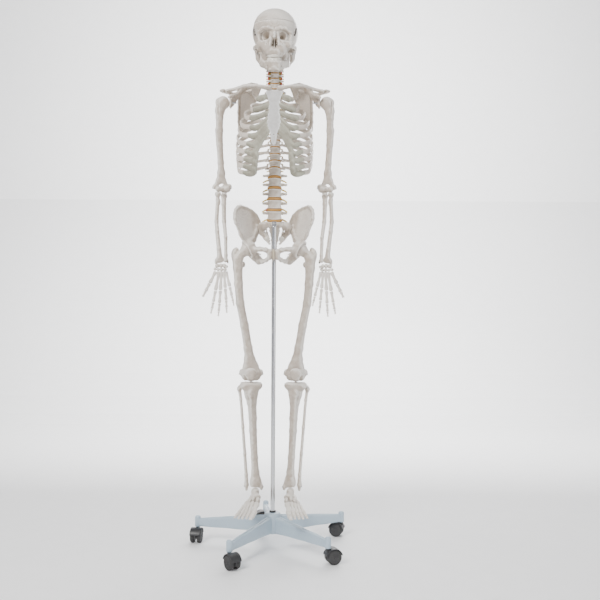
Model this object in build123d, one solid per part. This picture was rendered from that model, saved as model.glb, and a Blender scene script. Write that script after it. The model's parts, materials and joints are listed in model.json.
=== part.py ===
"""Life-size teaching skeleton, hung by its pelvis on a steel pole that stands on a five-armed castor base.

Millimetres. +Z is up, the skeleton faces -Y, and its left side is +X. The origin is on the floor, under the
pole's axis. Heights follow a chain: floor, base, soles, ankles, knees, hips, sacrum, spine, skull; the arms
hang down from the shoulders. Each bone is its own solid.
"""

from build123d import *
from math import cos, hypot, radians, sin, sqrt, tan
import os

PARTS = "parts"
os.makedirs(PARTS, exist_ok=True)

# ---------------------------------------------------------------- fits
RUNNING = 0.05  # radial clearance of a pin that turns in its bore
CLEAR = 0.6  # gap between bones that are held apart by a wire, a pad or a pin
FREE = 2.0  # gap at a joint that swings

# ---------------------------------------------------------------- stand
ARM_COUNT = 5
ARM_REACH = 261.0  # pole axis to castor pivot
ARM_HEADING = 25.4  # direction of the first arm, degrees from +X
ARM_ROOT_TOP = 101.0
ARM_ROOT_BOTTOM = 45.0
ARM_ROOT_WIDTH = 26.0
ARM_TIP_TOP = 76.0
ARM_TIP_BOTTOM = 52.0
ARM_TIP_WIDTH = 14.0
ARM_WALL = 3.0
POST_DIAMETER = 17.0
POST_TOP = 86.0
POST_BOTTOM = 50.0
HUB_DIAMETER = 57.0
HUB_TOP = 113.0
HUB_BORE_BOTTOM = 60.0
POLE_DIAMETER = 14.6
WHEEL_DIAMETER = 46.0
WHEEL_WIDTH = 13.0
WHEEL_GAP = 10.0  # between a castor's two wheels
WHEEL_EDGE = 3.0
CASTOR_TRAIL = 17.0  # swivel axis to wheel axis
HOOD_WALL = 2.5
STEM_DIAMETER = 9.0
STEM_LENGTH_IN_POST = 24.0
AXLE_DIAMETER = 6.0
AXLE_STICKS_IN = 10.0  # into each wheel
CASTOR_HEADINGS = (162.0, 190.0, 262.0, 307.0, 20.0)  # where each castor trails, degrees from +X

# ---------------------------------------------------------------- legs
SOLE_CLEARANCE = 9.0  # soles above the base's hub
ANKLE_HEIGHT = 74.0
TIBIA_LENGTH = 352.0
KNEE_GAP = 5.0
KNEE_AXIS_Y = 2.0
KNEE_AXIS_RISE = 20.0  # knee axis above the femur's lowest point
FEMUR_LENGTH = 440.0  # hip centre to the femur's lowest point
HIP_HALF_SPAN = 90.0
KNEE_HALF_SPAN = 75.0
ANKLE_HALF_SPAN = 58.0
FEMUR_HEAD_RADIUS = 22.0
FEMUR_SHAFT_RADIUS = 13.5
TIBIA_SHAFT_RADIUS = 11.5
METATARSAL_WIDTHS = ((7.4, 6, 8), (4.4, 3.8, 5), (4.2, 3.8, 5), (4, 3.8, 5), (4.2, 3.8, 5))
TROCHANTER_REACH = 42.0  # hip centre out to the greater trochanter's middle

# ---------------------------------------------------------------- pelvis and hanger
CUP_GAP = 2.0  # femoral head to the wall of its cup
CUP_WALL = 7.0
SACRUM_RISE = 97.0  # hip centre to the sacrum's top
SACRUM_BACK = 36.0  # pole axis to the sacrum's top centre
SACRUM_HALF_WIDTH = 56.0
SYMPHYSIS_Y = -41.0
SYMPHYSIS_WIDTH = 7.0
WING_THICKNESS = 7.0
SOCKET_DIAMETER = 19.0
SOCKET_DROP = 19.0  # tube's lower end below the hip centre
SOCKET_LENGTH = 98.0
HANGER_SCREW_DIAMETER = 5.0

# ---------------------------------------------------------------- spine
LUMBAR_PITCH = 36.2
THORACIC_PITCH_LOW = 26.8
THORACIC_PITCH_HIGH = 16.6
CERVICAL_PITCH = 16.8
AXIS_PITCH = 23.0
ATLAS_PITCH = 18.6
ROD_DIAMETER = 7.0
ARTERY_DIAMETER = 3.4
ARTERY_X = 20.0
ARTERY_Y = 3.0
ROD_BORE_CLEARANCE = 1.0
DISC_SEAT = 1.0  # each disc's faces stand this far off the tilted vertebrae
CANAL_RADIUS = 8.5
NECK_Y = 4.0  # the upright upper neck, behind the pole's axis

# ---------------------------------------------------------------- thorax
CAGE_HALF_WIDTH = 125.0
CAGE_FRONT = -92.0  # sternum's lower end
STERNUM_TOP_FRONT = -40.0
STERNUM_LENGTH = 192.0
STERNUM_THICKNESS = 9.0
BLADE_THICKNESS = 4.0
RIB_HEIGHT = 11.0
RIB_THICKNESS = 6.0

# ---------------------------------------------------------------- arms
SHOULDER_HALF_SPAN = 174.0
SHOULDER_DROP = 28.0  # shoulder centre below the spine's first thoracic vertebra
SHOULDER_Y = 8.0
HUMERUS_HEAD_RADIUS = 22.0
HUMERUS_LENGTH = 290.0  # shoulder centre to elbow axis
HUMERUS_SHAFT_RADIUS = 11.0
ELBOW_HALF_SPAN = 178.0
ELBOW_BARREL_RADIUS = 10.0
FOREARM_LENGTH = 254.0  # elbow axis to wrist axis
WRIST_HALF_SPAN = 171.0
WRIST_Y = -40.0
LINK_DIAMETER = 6.0
LINK_BALL_DIAMETER = 11.0
SHOULDER_SPREAD = 70.0  # how far an arm lifts sideways, degrees
HIP_SPREAD = 18.0

# ---------------------------------------------------------------- skull
ROD_REACH = 12.0  # the spine's rod inside the skull base
CONDYLE_RISE = 7.0  # skull base above the atlas's middle
SKULL_HEIGHT = 160.0  # condyles to crown
SKULL_HALF_WIDTH = 76.0
SKULL_HALF_LENGTH = 90.0
SKULL_WALL = 6.0
CAP_CUT_DROP = 62.0  # crown down to the cap's saw cut
SAW_CUT = 0.5
CHIN_DROP = 71.0  # condyles down to the chin's lowest point
JAW_AXIS_RISE = 12.0  # jaw hinge above the condyles
JAW_AXIS_Y = 6.0
JAW_HALF_SPAN = 46.0
JAW_PIN_DIAMETER = 4.0
KNUCKLE_RADIUS = 5.5
TEETH_DROP = 27.0  # condyles down to where the teeth meet

# ---------------------------------------------------------------- heights that follow
SOLE = HUB_TOP + SOLE_CLEARANCE
ANKLE = SOLE + ANKLE_HEIGHT
TIBIA_TOP = ANKLE + TIBIA_LENGTH
FEMUR_BOTTOM = TIBIA_TOP + KNEE_GAP
KNEE = FEMUR_BOTTOM + KNEE_AXIS_RISE
HIP = FEMUR_BOTTOM + FEMUR_LENGTH
SACRUM_TOP = HIP + SACRUM_RISE
SOCKET_BOTTOM = HIP - SOCKET_DROP
SOCKET_TOP = SOCKET_BOTTOM + SOCKET_LENGTH
LEFT, RIGHT = 1, -1
SIDES = {"left": LEFT, "right": RIGHT}


# ---------------------------------------------------------------- basic forms
def solid_of(shape):
    """The single solid of a shape that has been cut or joined."""
    return max(shape.solids(), key=lambda s: s.volume)


def save(name, *solids):
    """Writes one node's solids to its STEP file."""
    kept = [solid_of(s) for s in solids]
    export_step(kept[0] if len(kept) == 1 else Compound(children=kept), f"{PARTS}/{name}.step")


def save_pair(name, *solids):
    """Writes a left bone, and its mirror image as the right one."""
    kept = [solid_of(s) for s in solids]
    save(f"{name}_left", *kept)
    save(f"{name}_right", *[mirror(s, about=Plane.YZ) for s in kept])


def turned(start, end, radii):
    """A round bone from start to end with domed tips; the radii run evenly from one dome to the other."""
    axis = Vector(*end) - Vector(*start)
    length = axis.length
    first, last = min(radii[0], 0.35 * length), min(radii[-1], 0.35 * length)
    step = (length - first - last) / (len(radii) - 1)
    points = [(0, 0, 0), (0.7 * radii[0], 0, 0.29 * first)]
    points += [(r, 0, first + step * i) for i, r in enumerate(radii)]
    points += [(0.7 * radii[-1], 0, length - 0.29 * last), (0, 0, length)]
    pull = (radii[0] + radii[-1]) / length
    outline = Spline(*points, tangents=[(1, 0, 0), (-1, 0, 0)], tangent_scalars=[pull, pull])
    return Plane(origin=start, z_dir=axis) * revolve(make_face([outline, Line(points[-1], points[0])]), Axis.Z)


def rod(start, end, radius):
    """A plain round bar from start to end."""
    axis = Vector(*end) - Vector(*start)
    bar = Cylinder(radius, axis.length, align=(Align.CENTER, Align.CENTER, Align.MIN))
    return Plane(origin=start, z_dir=axis) * bar


def stick(start, end, radius):
    """A thin eight-sided bar from start to end."""
    axis = end - start
    return extrude(Plane(origin=start, z_dir=axis) * RegularPolygon(radius, 8), axis.length)


def lump(centre, radii, turn=(0, 0, 0)):
    """An ellipsoid."""
    return Pos(*centre) * Rot(*turn) * scale(Sphere(1), by=radii)


def column(*stations):
    """A bone lofted through level ellipses, each (x, y, z, half width, half depth)."""
    return loft([Pos(x, y, z) * Ellipse(rx, ry) for x, y, z, rx, ry in stations])


def block(low, high):
    """A box between two corners."""
    size = [b - a for a, b in zip(low, high)]
    return Pos(*low) * Box(*size, align=(Align.MIN, Align.MIN, Align.MIN))


def bent(points, height, thickness, share=0.45):
    """An oval bar along a route of straight runs and tangent arcs, with its height square to the route's plane."""
    corners = [Vector(*p) for p in points]
    radii = []
    for before, here, after in zip(corners, corners[1:], corners[2:]):
        run = min((here - before).length, (after - here).length)
        turn = (here - before).get_angle(after - here)
        radii.append(share * run / tan(radians(turn / 2)))
    route = FilletPolyline(*points, radius=radii)
    normal = (corners[1] - corners[0]).cross(corners[-1] - corners[0]).normalized()
    start = Plane(origin=route @ 0, x_dir=normal, z_dir=route % 0)
    return sweep(start * Ellipse(height / 2, thickness / 2), path=route)


def mirrored(side, point):
    """A point on the left side, moved to the given side."""
    return (side * point[0], *point[1:])


# ---------------------------------------------------------------- stand
def arm_directions():
    """Unit vector of each arm in plan."""
    headings = [radians(ARM_HEADING + 360 / ARM_COUNT * i) for i in range(ARM_COUNT)]
    return [(cos(a), sin(a)) for a in headings]


def arm(width_cut=0.0, height_cut=0.0, overrun=0.0):
    """One arm along +X, tapering from the hub to the castor post; the cuts make its hollow underside."""

    def end(x, width, bottom, top):
        low, high = bottom - overrun, top - height_cut
        return Plane(origin=(x, 0, (low + high) / 2), x_dir=(0, 1, 0), z_dir=(1, 0, 0)) * Rectangle(
            width - width_cut, high - low
        )

    root = end(0, ARM_ROOT_WIDTH, ARM_ROOT_BOTTOM, ARM_ROOT_TOP)
    return loft([root, end(ARM_REACH, ARM_TIP_WIDTH, ARM_TIP_BOTTOM, ARM_TIP_TOP)])


def make_base():
    """Hub, five hollow arms and the castor posts in one moulding."""
    hub = Cylinder(HUB_DIAMETER / 2, HUB_TOP - ARM_ROOT_BOTTOM, align=(Align.CENTER, Align.CENTER, Align.MIN))
    hub = fillet(hub.edges().group_by(Axis.Z)[-1], 6)
    base = Pos(0, 0, ARM_ROOT_BOTTOM) * hub
    post = Cylinder(POST_DIAMETER / 2, POST_TOP - POST_BOTTOM, align=(Align.CENTER, Align.CENTER, Align.MIN))
    post = Pos(0, 0, POST_BOTTOM) * fillet(post.edges().group_by(Axis.Z)[-1], 5)
    hollow = arm(2 * ARM_WALL, ARM_WALL, 5)
    hollow_start = HUB_DIAMETER / 2 - ARM_WALL
    hollow_end = ARM_REACH - POST_DIAMETER / 2 - ARM_WALL
    hollow &= block((hollow_start, -ARM_REACH, 0), (hollow_end, ARM_REACH, HUB_TOP))
    for i in range(ARM_COUNT):
        turn = Rot(0, 0, ARM_HEADING + 360 / ARM_COUNT * i)
        base += turn * arm() + turn * Pos(ARM_REACH, 0, 0) * post
    for i in range(ARM_COUNT):
        turn = Rot(0, 0, ARM_HEADING + 360 / ARM_COUNT * i)
        base -= turn * hollow
        stem_top = POST_BOTTOM + STEM_LENGTH_IN_POST + 1
        base -= turn * rod((ARM_REACH, 0, 0), (ARM_REACH, 0, stem_top), STEM_DIAMETER / 2 + RUNNING)
    base -= rod((0, 0, HUB_BORE_BOTTOM), (0, 0, HUB_TOP + 1), POLE_DIAMETER / 2)
    save("star_base", base)


def make_pole():
    """The steel pole, from the bottom of the hub's bore to just under the socket's closed top."""
    save("pole", rod((0, 0, HUB_BORE_BOTTOM), (0, 0, SOCKET_TOP - 4), POLE_DIAMETER / 2))


def make_castors():
    """Twin-wheel castors: a hood with its stem, and two wheels on one axle, trailing behind the stem."""
    axle_height = WHEEL_DIAMETER / 2
    web = WHEEL_GAP - 2 * 0.5
    hood_radius = WHEEL_DIAMETER / 2 + 1 + HOOD_WALL
    span = WHEEL_GAP + 2 * WHEEL_WIDTH + 2
    across = Rot(90, 0, 0)
    hood = across * Cylinder(hood_radius, web) & block((-90, -90, -8), (90, 90, 90))
    roof = across * (Cylinder(hood_radius, span) - Cylinder(hood_radius - HOOD_WALL, span))
    hood += roof & block((-90, -90, 5), (90, 90, 90))
    hood -= across * Cylinder(AXLE_DIAMETER / 2 + RUNNING, web)
    collar_low = sqrt((WHEEL_DIAMETER / 2) ** 2 - (CASTOR_TRAIL - 7) ** 2) + 1
    collar_top = POST_BOTTOM - 0.5 - axle_height
    hood += rod((-CASTOR_TRAIL, 0, collar_low), (-CASTOR_TRAIL, 0, collar_top), 7)
    stem_top = POST_BOTTOM + STEM_LENGTH_IN_POST - axle_height
    hood += rod((-CASTOR_TRAIL, 0, collar_low - 6), (-CASTOR_TRAIL, 0, stem_top), STEM_DIAMETER / 2)
    wheel = Cylinder(WHEEL_DIAMETER / 2, WHEEL_WIDTH)
    wheel = across * fillet(wheel.edges(), WHEEL_EDGE)
    wheel_y = (WHEEL_GAP + WHEEL_WIDTH) / 2
    axle_half = WHEEL_GAP / 2 + AXLE_STICKS_IN
    axle = rod((0, -axle_half, 0), (0, axle_half, 0), AXLE_DIAMETER / 2)
    pair = [Pos(0, y, 0) * wheel - axle for y in (-wheel_y, wheel_y)] + [axle]
    for i, ((cx, cy), heading) in enumerate(zip(arm_directions(), CASTOR_HEADINGS), 1):
        trail = (cos(radians(heading)) * CASTOR_TRAIL, sin(radians(heading)) * CASTOR_TRAIL)
        place = Pos(ARM_REACH * cx + trail[0], ARM_REACH * cy + trail[1], axle_height) * Rot(0, 0, heading)
        save(f"castor_hood_{i}", place * hood)
        save(f"castor_wheels_{i}", *[place * s for s in pair])


# ---------------------------------------------------------------- spine
def spine_route():
    """The column's middle line in the side plane: lumbar, thoracic and cervical curves joined by arcs."""
    start = Vector(0, SACRUM_BACK, SACRUM_TOP)
    corners = [(0, 0), (-22, 98), (50, 308), (NECK_Y - SACRUM_BACK, 470), (NECK_Y - SACRUM_BACK, 640)]
    return FilletPolyline(*[start + Vector(0, y, z) for y, z in corners], radius=[260, 300, 160])


SPINE = spine_route()


def spine_frame(distance):
    """Frame on the column's middle line, this far above the sacrum: X to the left, Y back, Z up the column."""
    share = distance / SPINE.length
    return Plane(origin=SPINE @ share, x_dir=(1, 0, 0), z_dir=SPINE % share)


def vertebra_table():
    """(region, number, distance up the line to its middle, body height, disc below it, width, depth), from L5 up."""
    rows, distance = [], 0.0
    for number in range(5, 0, -1):
        rows.append(("lumbar", number, LUMBAR_PITCH, 8.5, 44 + 1.4 * number, 33 + 0.4 * number))
    for number in range(12, 0, -1):
        share = (number - 1) / 11
        pitch = THORACIC_PITCH_HIGH + share * (THORACIC_PITCH_LOW - THORACIC_PITCH_HIGH)
        rows.append(("thoracic", number, pitch, 3.6 + 2.6 * share, 27 + 14 * share, 17 + 13 * share))
    for number in range(7, 2, -1):
        rows.append(("cervical", number, CERVICAL_PITCH, 4.2, 24 + 0.4 * number, 15.5))
    rows.append(("cervical", 2, AXIS_PITCH, 4.0, 23, 15))
    rows.append(("cervical", 1, ATLAS_PITCH, 3.5, 0, 0))
    table = []
    for region, number, pitch, disc, width, depth in rows:
        body = pitch - disc
        table.append((region, number, distance + disc + body / 2, body, disc, width, depth))
        distance += pitch
    return table, distance


VERTEBRAE, SPINE_HEIGHT = vertebra_table()
VERTEBRA_AT = {(region, number): spine_frame(at) for region, number, at, *_ in VERTEBRAE}
BODY_OF = {(region, number): (body, width, depth) for region, number, _, body, _, width, depth in VERTEBRAE}
FIRST_RIB_HEIGHT = VERTEBRA_AT["thoracic", 1].origin.Z
SHOULDER = FIRST_RIB_HEIGHT - SHOULDER_DROP
CONDYLES = spine_frame(SPINE_HEIGHT - ATLAS_PITCH / 2 + CONDYLE_RISE).origin
ROD_TOP = SPINE_HEIGHT - ATLAS_PITCH / 2 + CONDYLE_RISE + ROD_REACH


def atlas():
    """The first vertebra: a ring with two side masses and no body."""
    ring = extrude(Ellipse(25, 21) - Ellipse(15, 14), 8)
    wings = Box(70, 9, 7) - extrude(Ellipse(15, 14), 30, both=True)
    whole = Pos(0, 8, -4) * ring + Pos(0, 4, 0) * wings
    return drilled_for_arteries(whole)


def drilled_for_arteries(bone):
    """A neck vertebra with the hole on each side that its artery climbs through."""
    for side in SIDES.values():
        bone -= Pos(side * ARTERY_X, ARTERY_Y, 0) * Cylinder(ARTERY_DIAMETER / 2 + 1.4, 60)
    return bone


def vertebra(region, number, height, width, depth):
    """Body, arch round the canal, spinous process and side processes; the body's bore takes the rod."""
    body = extrude(Ellipse(width / 2, depth / 2), height / 2, both=True)
    body -= Cylinder(ROD_DIAMETER / 2 + ROD_BORE_CLEARANCE, 2 * height)
    canal = CANAL_RADIUS + (2 if region == "cervical" else 0)
    wall = 4.0
    centre_y = depth / 2 + canal - 1
    arch = extrude(Ellipse(canal + wall, canal + wall - 1) - Ellipse(canal, canal - 1), height * 0.3, both=True)
    arch -= block((-90, -90, -90), (90, -canal + 1, 90))
    back = centre_y + canal + wall - 3
    if region == "lumbar":
        reach, drop, tall, side_reach, side_back = 27, 3, height * 0.75, 40, centre_y - 4
    elif region == "thoracic":
        reach, drop, tall, side_reach, side_back = 30, 14 if 3 < number < 10 else 8, 7, 33, centre_y + 9
    else:
        reach, drop, tall, side_reach, side_back = (28, 6, 7, 28, 3) if number == 7 else (14, 3, 6, 28, 3)
    spine = loft(
        [
            Plane(origin=(0, back, 0), x_dir=(1, 0, 0), z_dir=(0, 1, 0)) * Rectangle(6, tall),
            Plane(origin=(0, back + reach, -drop), x_dir=(1, 0, 0), z_dir=(0, 1, 0)) * Rectangle(5, tall * 0.8),
        ]
    )
    whole = body + Pos(0, centre_y, 0) * arch + spine
    side_tall = min(9, height * 0.75)
    for side in SIDES.values():
        inner = (side * (canal + 1), side_back - (4 if region == "thoracic" else 0), 0)
        outer = (side * side_reach, side_back + (3 if region == "thoracic" else 0), 0)
        thick = side_tall / 2
        whole += rod(inner, outer, thick) if region == "cervical" else turned(inner, outer, [thick] * 3)
    return drilled_for_arteries(whole) if region == "cervical" else whole


def make_spine():
    """Vertebrae by region, the discs between them, the rod, the nerves and the arteries."""
    bones, discs = {"cervical": [], "thoracic": [], "lumbar": []}, []
    bore = Cylinder(ROD_DIAMETER / 2 + ROD_BORE_CLEARANCE, 60)
    for region, number, at, height, disc, width, depth in VERTEBRAE:
        if (region, number) == ("cervical", 1):
            bones[region].append(spine_frame(at) * atlas())
            continue
        bones[region].append(spine_frame(at) * vertebra(region, number, height, width, depth))
        tilt_room = DISC_SEAT + depth * 0.018
        pad = extrude(Ellipse(width / 2 + 0.5, depth / 2 + 0.5), disc / 2 - tilt_room, both=True) - bore
        discs.append(spine_frame(at - height / 2 - disc / 2) * pad)
    for region, solids in bones.items():
        save(f"{region}_vertebrae", *solids)
    save("intervertebral_discs", *discs)
    line = Wire(SPINE.trim(0, ROD_TOP / SPINE.length).edges())
    start = Plane(origin=line @ 0, x_dir=(1, 0, 0), z_dir=line % 0)
    save("spine_rod", sweep(start * Circle(ROD_DIAMETER / 2), path=line))
    make_nerves()


def make_nerves():
    """A short nerve root on each side at each level, and the two arteries up through the neck."""
    nerves = []
    for region, number, at, height, disc, width, depth in VERTEBRAE:
        if (region, number) == ("cervical", 1):
            continue
        plane = spine_frame(at)
        radius = {"cervical": 1.4, "thoracic": 1.4, "lumbar": 2.0}[region]
        level = -height / 2 - disc / 2
        inner_y = depth / 2 + (1.0 if region == "cervical" else 3.5)
        reach = {"cervical": 5 if number == 7 else 14, "thoracic": 7, "lumbar": 17}[region]
        dip = reach * 0.35 if region == "lumbar" else 0
        for side in SIDES.values():
            inner = plane.from_local_coords((side * width * 0.36, inner_y, level))
            outer = plane.from_local_coords((side * (width / 2 + reach), inner_y - 2, level - dip))
            nerves.append(stick(inner, outer, radius))
    save("spinal_nerves", *nerves)
    neck = [spine_frame(at) for region, number, at, *_ in VERTEBRAE if region == "cervical"]
    stops = [tuple(plane.from_local_coords((ARTERY_X, ARTERY_Y, 0))) for plane in neck[1:]]
    path = Spline(*stops)
    start = Plane(origin=path @ 0, z_dir=path % 0)
    artery = sweep(start * Circle(ARTERY_DIAMETER / 2), path=path)
    save("vertebral_arteries", artery, mirror(artery, about=Plane.YZ))


# ---------------------------------------------------------------- pelvis
def sacrum_stations():
    """The sacrum's middle line, from its top down: (y, z, half width, half depth)."""
    y, z = SACRUM_BACK, SACRUM_TOP
    return [
        (y + 8, z - 10, SACRUM_HALF_WIDTH, 15),
        (y + 22, z - 24, SACRUM_HALF_WIDTH - 6, 13),
        (y + 33, z - 40, SACRUM_HALF_WIDTH - 20, 11),
        (y + 38, z - 54, SACRUM_HALF_WIDTH - 29, 9),
        (y + 37, z - 66, SACRUM_HALF_WIDTH - 37, 7),
    ]


HANGER_SCREW_HEIGHT = SOCKET_TOP + 8
HANGER_SEAT_Y = SACRUM_BACK - 12.0


def make_sacrum():
    """Sacrum with the rod's hole and the hanger's seat, and the coccyx below it."""
    stations = sacrum_stations()
    sections = []
    for i, (y, z, half_width, half_depth) in enumerate(stations):
        before, after = stations[max(i - 1, 0)], stations[min(i + 1, len(stations) - 1)]
        down = (0, after[0] - before[0], after[1] - before[1])
        sections.append(Plane(origin=(0, y, z), x_dir=(1, 0, 0), z_dir=down) * Ellipse(half_width, half_depth))
    width, depth = BODY_OF["lumbar", 5][1:]
    top = spine_frame(0) * extrude(Ellipse(width / 2, depth / 2), -22)
    bone = loft(sections) + top
    bone -= rod((0, 0, HANGER_SCREW_HEIGHT), (0, HANGER_SEAT_Y, HANGER_SCREW_HEIGHT), 6.2)
    bone -= rod(
        (0, 0, HANGER_SCREW_HEIGHT), (0, HANGER_SEAT_Y + 16, HANGER_SCREW_HEIGHT), HANGER_SCREW_DIAMETER / 2
    )
    last_y, last_z = stations[-1][:2]
    coccyx = turned((0, last_y - 1, last_z - 5), (0, last_y - 16, last_z - 30), [9, 7.5, 5, 3])
    coccyx -= loft(sections)
    save("sacrum", bone)
    save("coccyx", coccyx)


def make_hanger():
    """The chrome tube that the pole slides into, with its tab and spacer, and the screw into the sacrum."""
    tube = rod((0, 0, SOCKET_BOTTOM), (0, 0, SOCKET_TOP), SOCKET_DIAMETER / 2)
    tube = fillet(tube.edges().group_by(Axis.Z)[-1], 4)
    tab_top = HANGER_SCREW_HEIGHT + 7
    tube += block((-7, 3, SOCKET_TOP - 12), (7, 7, tab_top))
    tube += rod((0, 6, HANGER_SCREW_HEIGHT), (0, HANGER_SEAT_Y, HANGER_SCREW_HEIGHT), 5.5)
    bore_top = SOCKET_TOP - 4 + 0.5
    tube -= rod((0, 0, SOCKET_BOTTOM - 1), (0, 0, bore_top), POLE_DIAMETER / 2 + RUNNING)
    shank = rod((0, 2, HANGER_SCREW_HEIGHT), (0, HANGER_SEAT_Y + 16, HANGER_SCREW_HEIGHT), HANGER_SCREW_DIAMETER / 2)
    head = turned((0, -1.5, HANGER_SCREW_HEIGHT), (0, 3, HANGER_SCREW_HEIGHT), [4.2, 4.4])
    head &= block((-9, -9, 0), (9, 3, 2 * HIP))
    save("hanger_socket", tube - shank)
    save("hanger_screw", shank + head)


def hip_cup():
    """The left hip socket before its ball is cut out; its mouth faces outwards, forwards and down."""
    cup = Sphere(FEMUR_HEAD_RADIUS + CUP_GAP + CUP_WALL)
    mouth = Plane(origin=(2, 0, 0), z_dir=(0.8, -0.25, -0.5))
    cup -= mouth * Box(200, 200, 100, align=(Align.CENTER, Align.CENTER, Align.MIN))
    return Pos(HIP_HALF_SPAN, 0, HIP) * cup


def wing_plane():
    """Plane of the left ilium's wing: its X runs forward along the crest; its origin is over the hip joint."""
    forward, up = Vector(78, -130, 0).normalized(), Vector(36, 8, 131)
    return Plane(origin=(HIP_HALF_SPAN - 5, 4, HIP + 24), x_dir=forward, z_dir=forward.cross(up))


def make_hip_bones():
    """Ilium wing, cup, pubis and ischium of each side, and the pad between the two pubic bones."""
    outline = [(-24, -12), (-52, 10), (-76, 40), (-92, 68), (-72, 104), (-34, 124), (6, 128), (40, 112)]
    outline += [(64, 80), (64, 58), (48, 36), (34, 4), (22, -12)]
    half = SYMPHYSIS_WIDTH / 2
    hip_x, front_z = HIP_HALF_SPAN, HIP - 19
    wing = extrude(make_face(Polyline(*outline, close=True)), WING_THICKNESS / 2, both=True)
    bone = wing_plane() * wing + hip_cup()
    bone += turned((hip_x - 18, -17, HIP - 4), (6, SYMPHYSIS_Y + 1, HIP - 12), [9, 7, 6.5])
    bone += rod((half + 8, SYMPHYSIS_Y, front_z - 14), (half + 8, SYMPHYSIS_Y, front_z + 14), 8.2)
    bone += rod((11, SYMPHYSIS_Y + 2, HIP - 28), (46, 10, HIP - 48), 6)
    bone += turned((hip_x - 14, 18, HIP - 5), (43, 15, HIP - 52), [11, 11, 12])
    bone -= Pos(hip_x, 0, HIP) * Sphere(FEMUR_HEAD_RADIUS + CUP_GAP)
    bone -= block((-90, -90, 0), (half, 90, 2 * HIP))
    bone -= rod((20, 0, HIP), (hip_x, 0, HIP), LINK_DIAMETER / 2 + RUNNING)
    save_pair("hip_bone", bone)
    pad = Plane(origin=(0, SYMPHYSIS_Y, front_z), x_dir=(0, 1, 0), z_dir=(1, 0, 0)) * Ellipse(8, 15)
    save("pubic_pad", extrude(pad, half, both=True))


# ---------------------------------------------------------------- legs
def ball_link(centre, inner_x):
    """A left steel pin along X that turns in the socket bone, with a ball at the limb's centre of movement."""
    x, y, z = centre
    return rod((inner_x, y, z), centre, LINK_DIAMETER / 2) + Pos(*centre) * Sphere(LINK_BALL_DIAMETER / 2)


def link_slot(centre, radius, spread):
    """The hollow in a left limb's head for the link's ball, and the slot its pin crosses as the limb spreads."""
    reach = 2 * radius
    low, high = radians(180 - spread - 1), radians(180)
    middle, half = (low + high) / 2, (high - low) / 2
    ends = [(reach * cos(a) / cos(half), reach * sin(a) / cos(half)) for a in (low, high)]
    fan = make_face(Polyline((0, 0), ends[0], (reach * cos(middle) * 1.2, reach * sin(middle) * 1.2), ends[1], close=True))
    slot = Plane(origin=(0, 0, 0), x_dir=(1, 0, 0), z_dir=(0, -1, 0)) * extrude(fan, LINK_DIAMETER / 2 + 0.4, both=True)
    for angle in (low, high):
        slot += rod((0, 0, 0), (reach * cos(angle), 0, reach * sin(angle)), LINK_DIAMETER / 2 + RUNNING)
    return Pos(*centre) * (slot + Sphere(LINK_BALL_DIAMETER / 2 + RUNNING))


def make_legs():
    """Femur, patella, tibia, fibula and hip link of each side."""
    hip = (HIP_HALF_SPAN, 0, HIP)
    x, ankle_x = KNEE_HALF_SPAN, ANKLE_HALF_SPAN
    shaft = FEMUR_SHAFT_RADIUS
    out_x = HIP_HALF_SPAN + TROCHANTER_REACH
    femur = column(
        (x, 0, FEMUR_BOTTOM + 10, 34, 17),
        (x, -2, FEMUR_BOTTOM + 34, 33, 16),
        (x + 2, -5, FEMUR_BOTTOM + 78, 18, 15),
        (x + 11, -9, FEMUR_BOTTOM + 150, shaft, shaft),
        (x + 31, -10, FEMUR_BOTTOM + 260, shaft, shaft),
        (out_x - 19, -2, HIP - 80, shaft + 2, shaft + 1),
        (out_x - 13, 3, HIP - 35, 19, 15),
        (out_x - 4, 8, HIP - 6, 10, 11),
    )
    femur += turned((out_x - 12, 4, HIP - 26), hip, [15, 13, 15])
    femur += Pos(*hip) * Sphere(FEMUR_HEAD_RADIUS)
    for middle in (x - 18, x + 18):
        femur += rod((middle - 14, KNEE_AXIS_Y, KNEE), (middle + 14, KNEE_AXIS_Y, KNEE), KNEE_AXIS_RISE)
    femur -= link_slot(hip, FEMUR_HEAD_RADIUS, HIP_SPREAD)
    save_pair("femur", femur)
    save_pair("hip_link", ball_link(hip, HIP_HALF_SPAN - FEMUR_HEAD_RADIUS - CUP_GAP - CUP_WALL))
    patella = lump((x, -28, KNEE + 5), (19, 9, 20))
    patella -= rod((x - 60, KNEE_AXIS_Y, KNEE), (x + 60, KNEE_AXIS_Y, KNEE), KNEE_AXIS_RISE + CLEAR)
    save_pair("patella", patella)
    tibia = column(
        (ankle_x, 2, ANKLE + FREE, 20, 16),
        (ankle_x, 2, ANKLE + 22, 18, 15),
        (ankle_x + 2, 0, ANKLE + 80, TIBIA_SHAFT_RADIUS, TIBIA_SHAFT_RADIUS + 1),
        (ankle_x + 7, -2, ANKLE + 210, TIBIA_SHAFT_RADIUS + 1, TIBIA_SHAFT_RADIUS + 2),
        (x - 3, -1, TIBIA_TOP - 60, 19, 17),
        (x - 1, 2, TIBIA_TOP - 20, 33, 22),
        (x, 3, TIBIA_TOP, 36, 23),
    )
    tibia += turned((ankle_x - 13, 1, ANKLE + 32), (ankle_x - 20, 1, ANKLE - 11), [6, 7, 5])
    fibula = column(
        (ankle_x + 31, 8, ANKLE - 12, 4.5, 6),
        (ankle_x + 31, 8, ANKLE + 8, 7.5, 9),
        (ankle_x + 33, 8, ANKLE + 50, 6, 6.5),
        (ankle_x + 43, 8, ANKLE + 180, 6, 6),
        (ankle_x + 53, 9, TIBIA_TOP - 60, 5.5, 5.5),
        (ankle_x + 57, 11, TIBIA_TOP - 24, 9, 10),
        (ankle_x + 57, 11, TIBIA_TOP - 16, 6, 6),
    )
    save_pair("tibia", tibia)
    save_pair("fibula", fibula - tibia)


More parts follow.
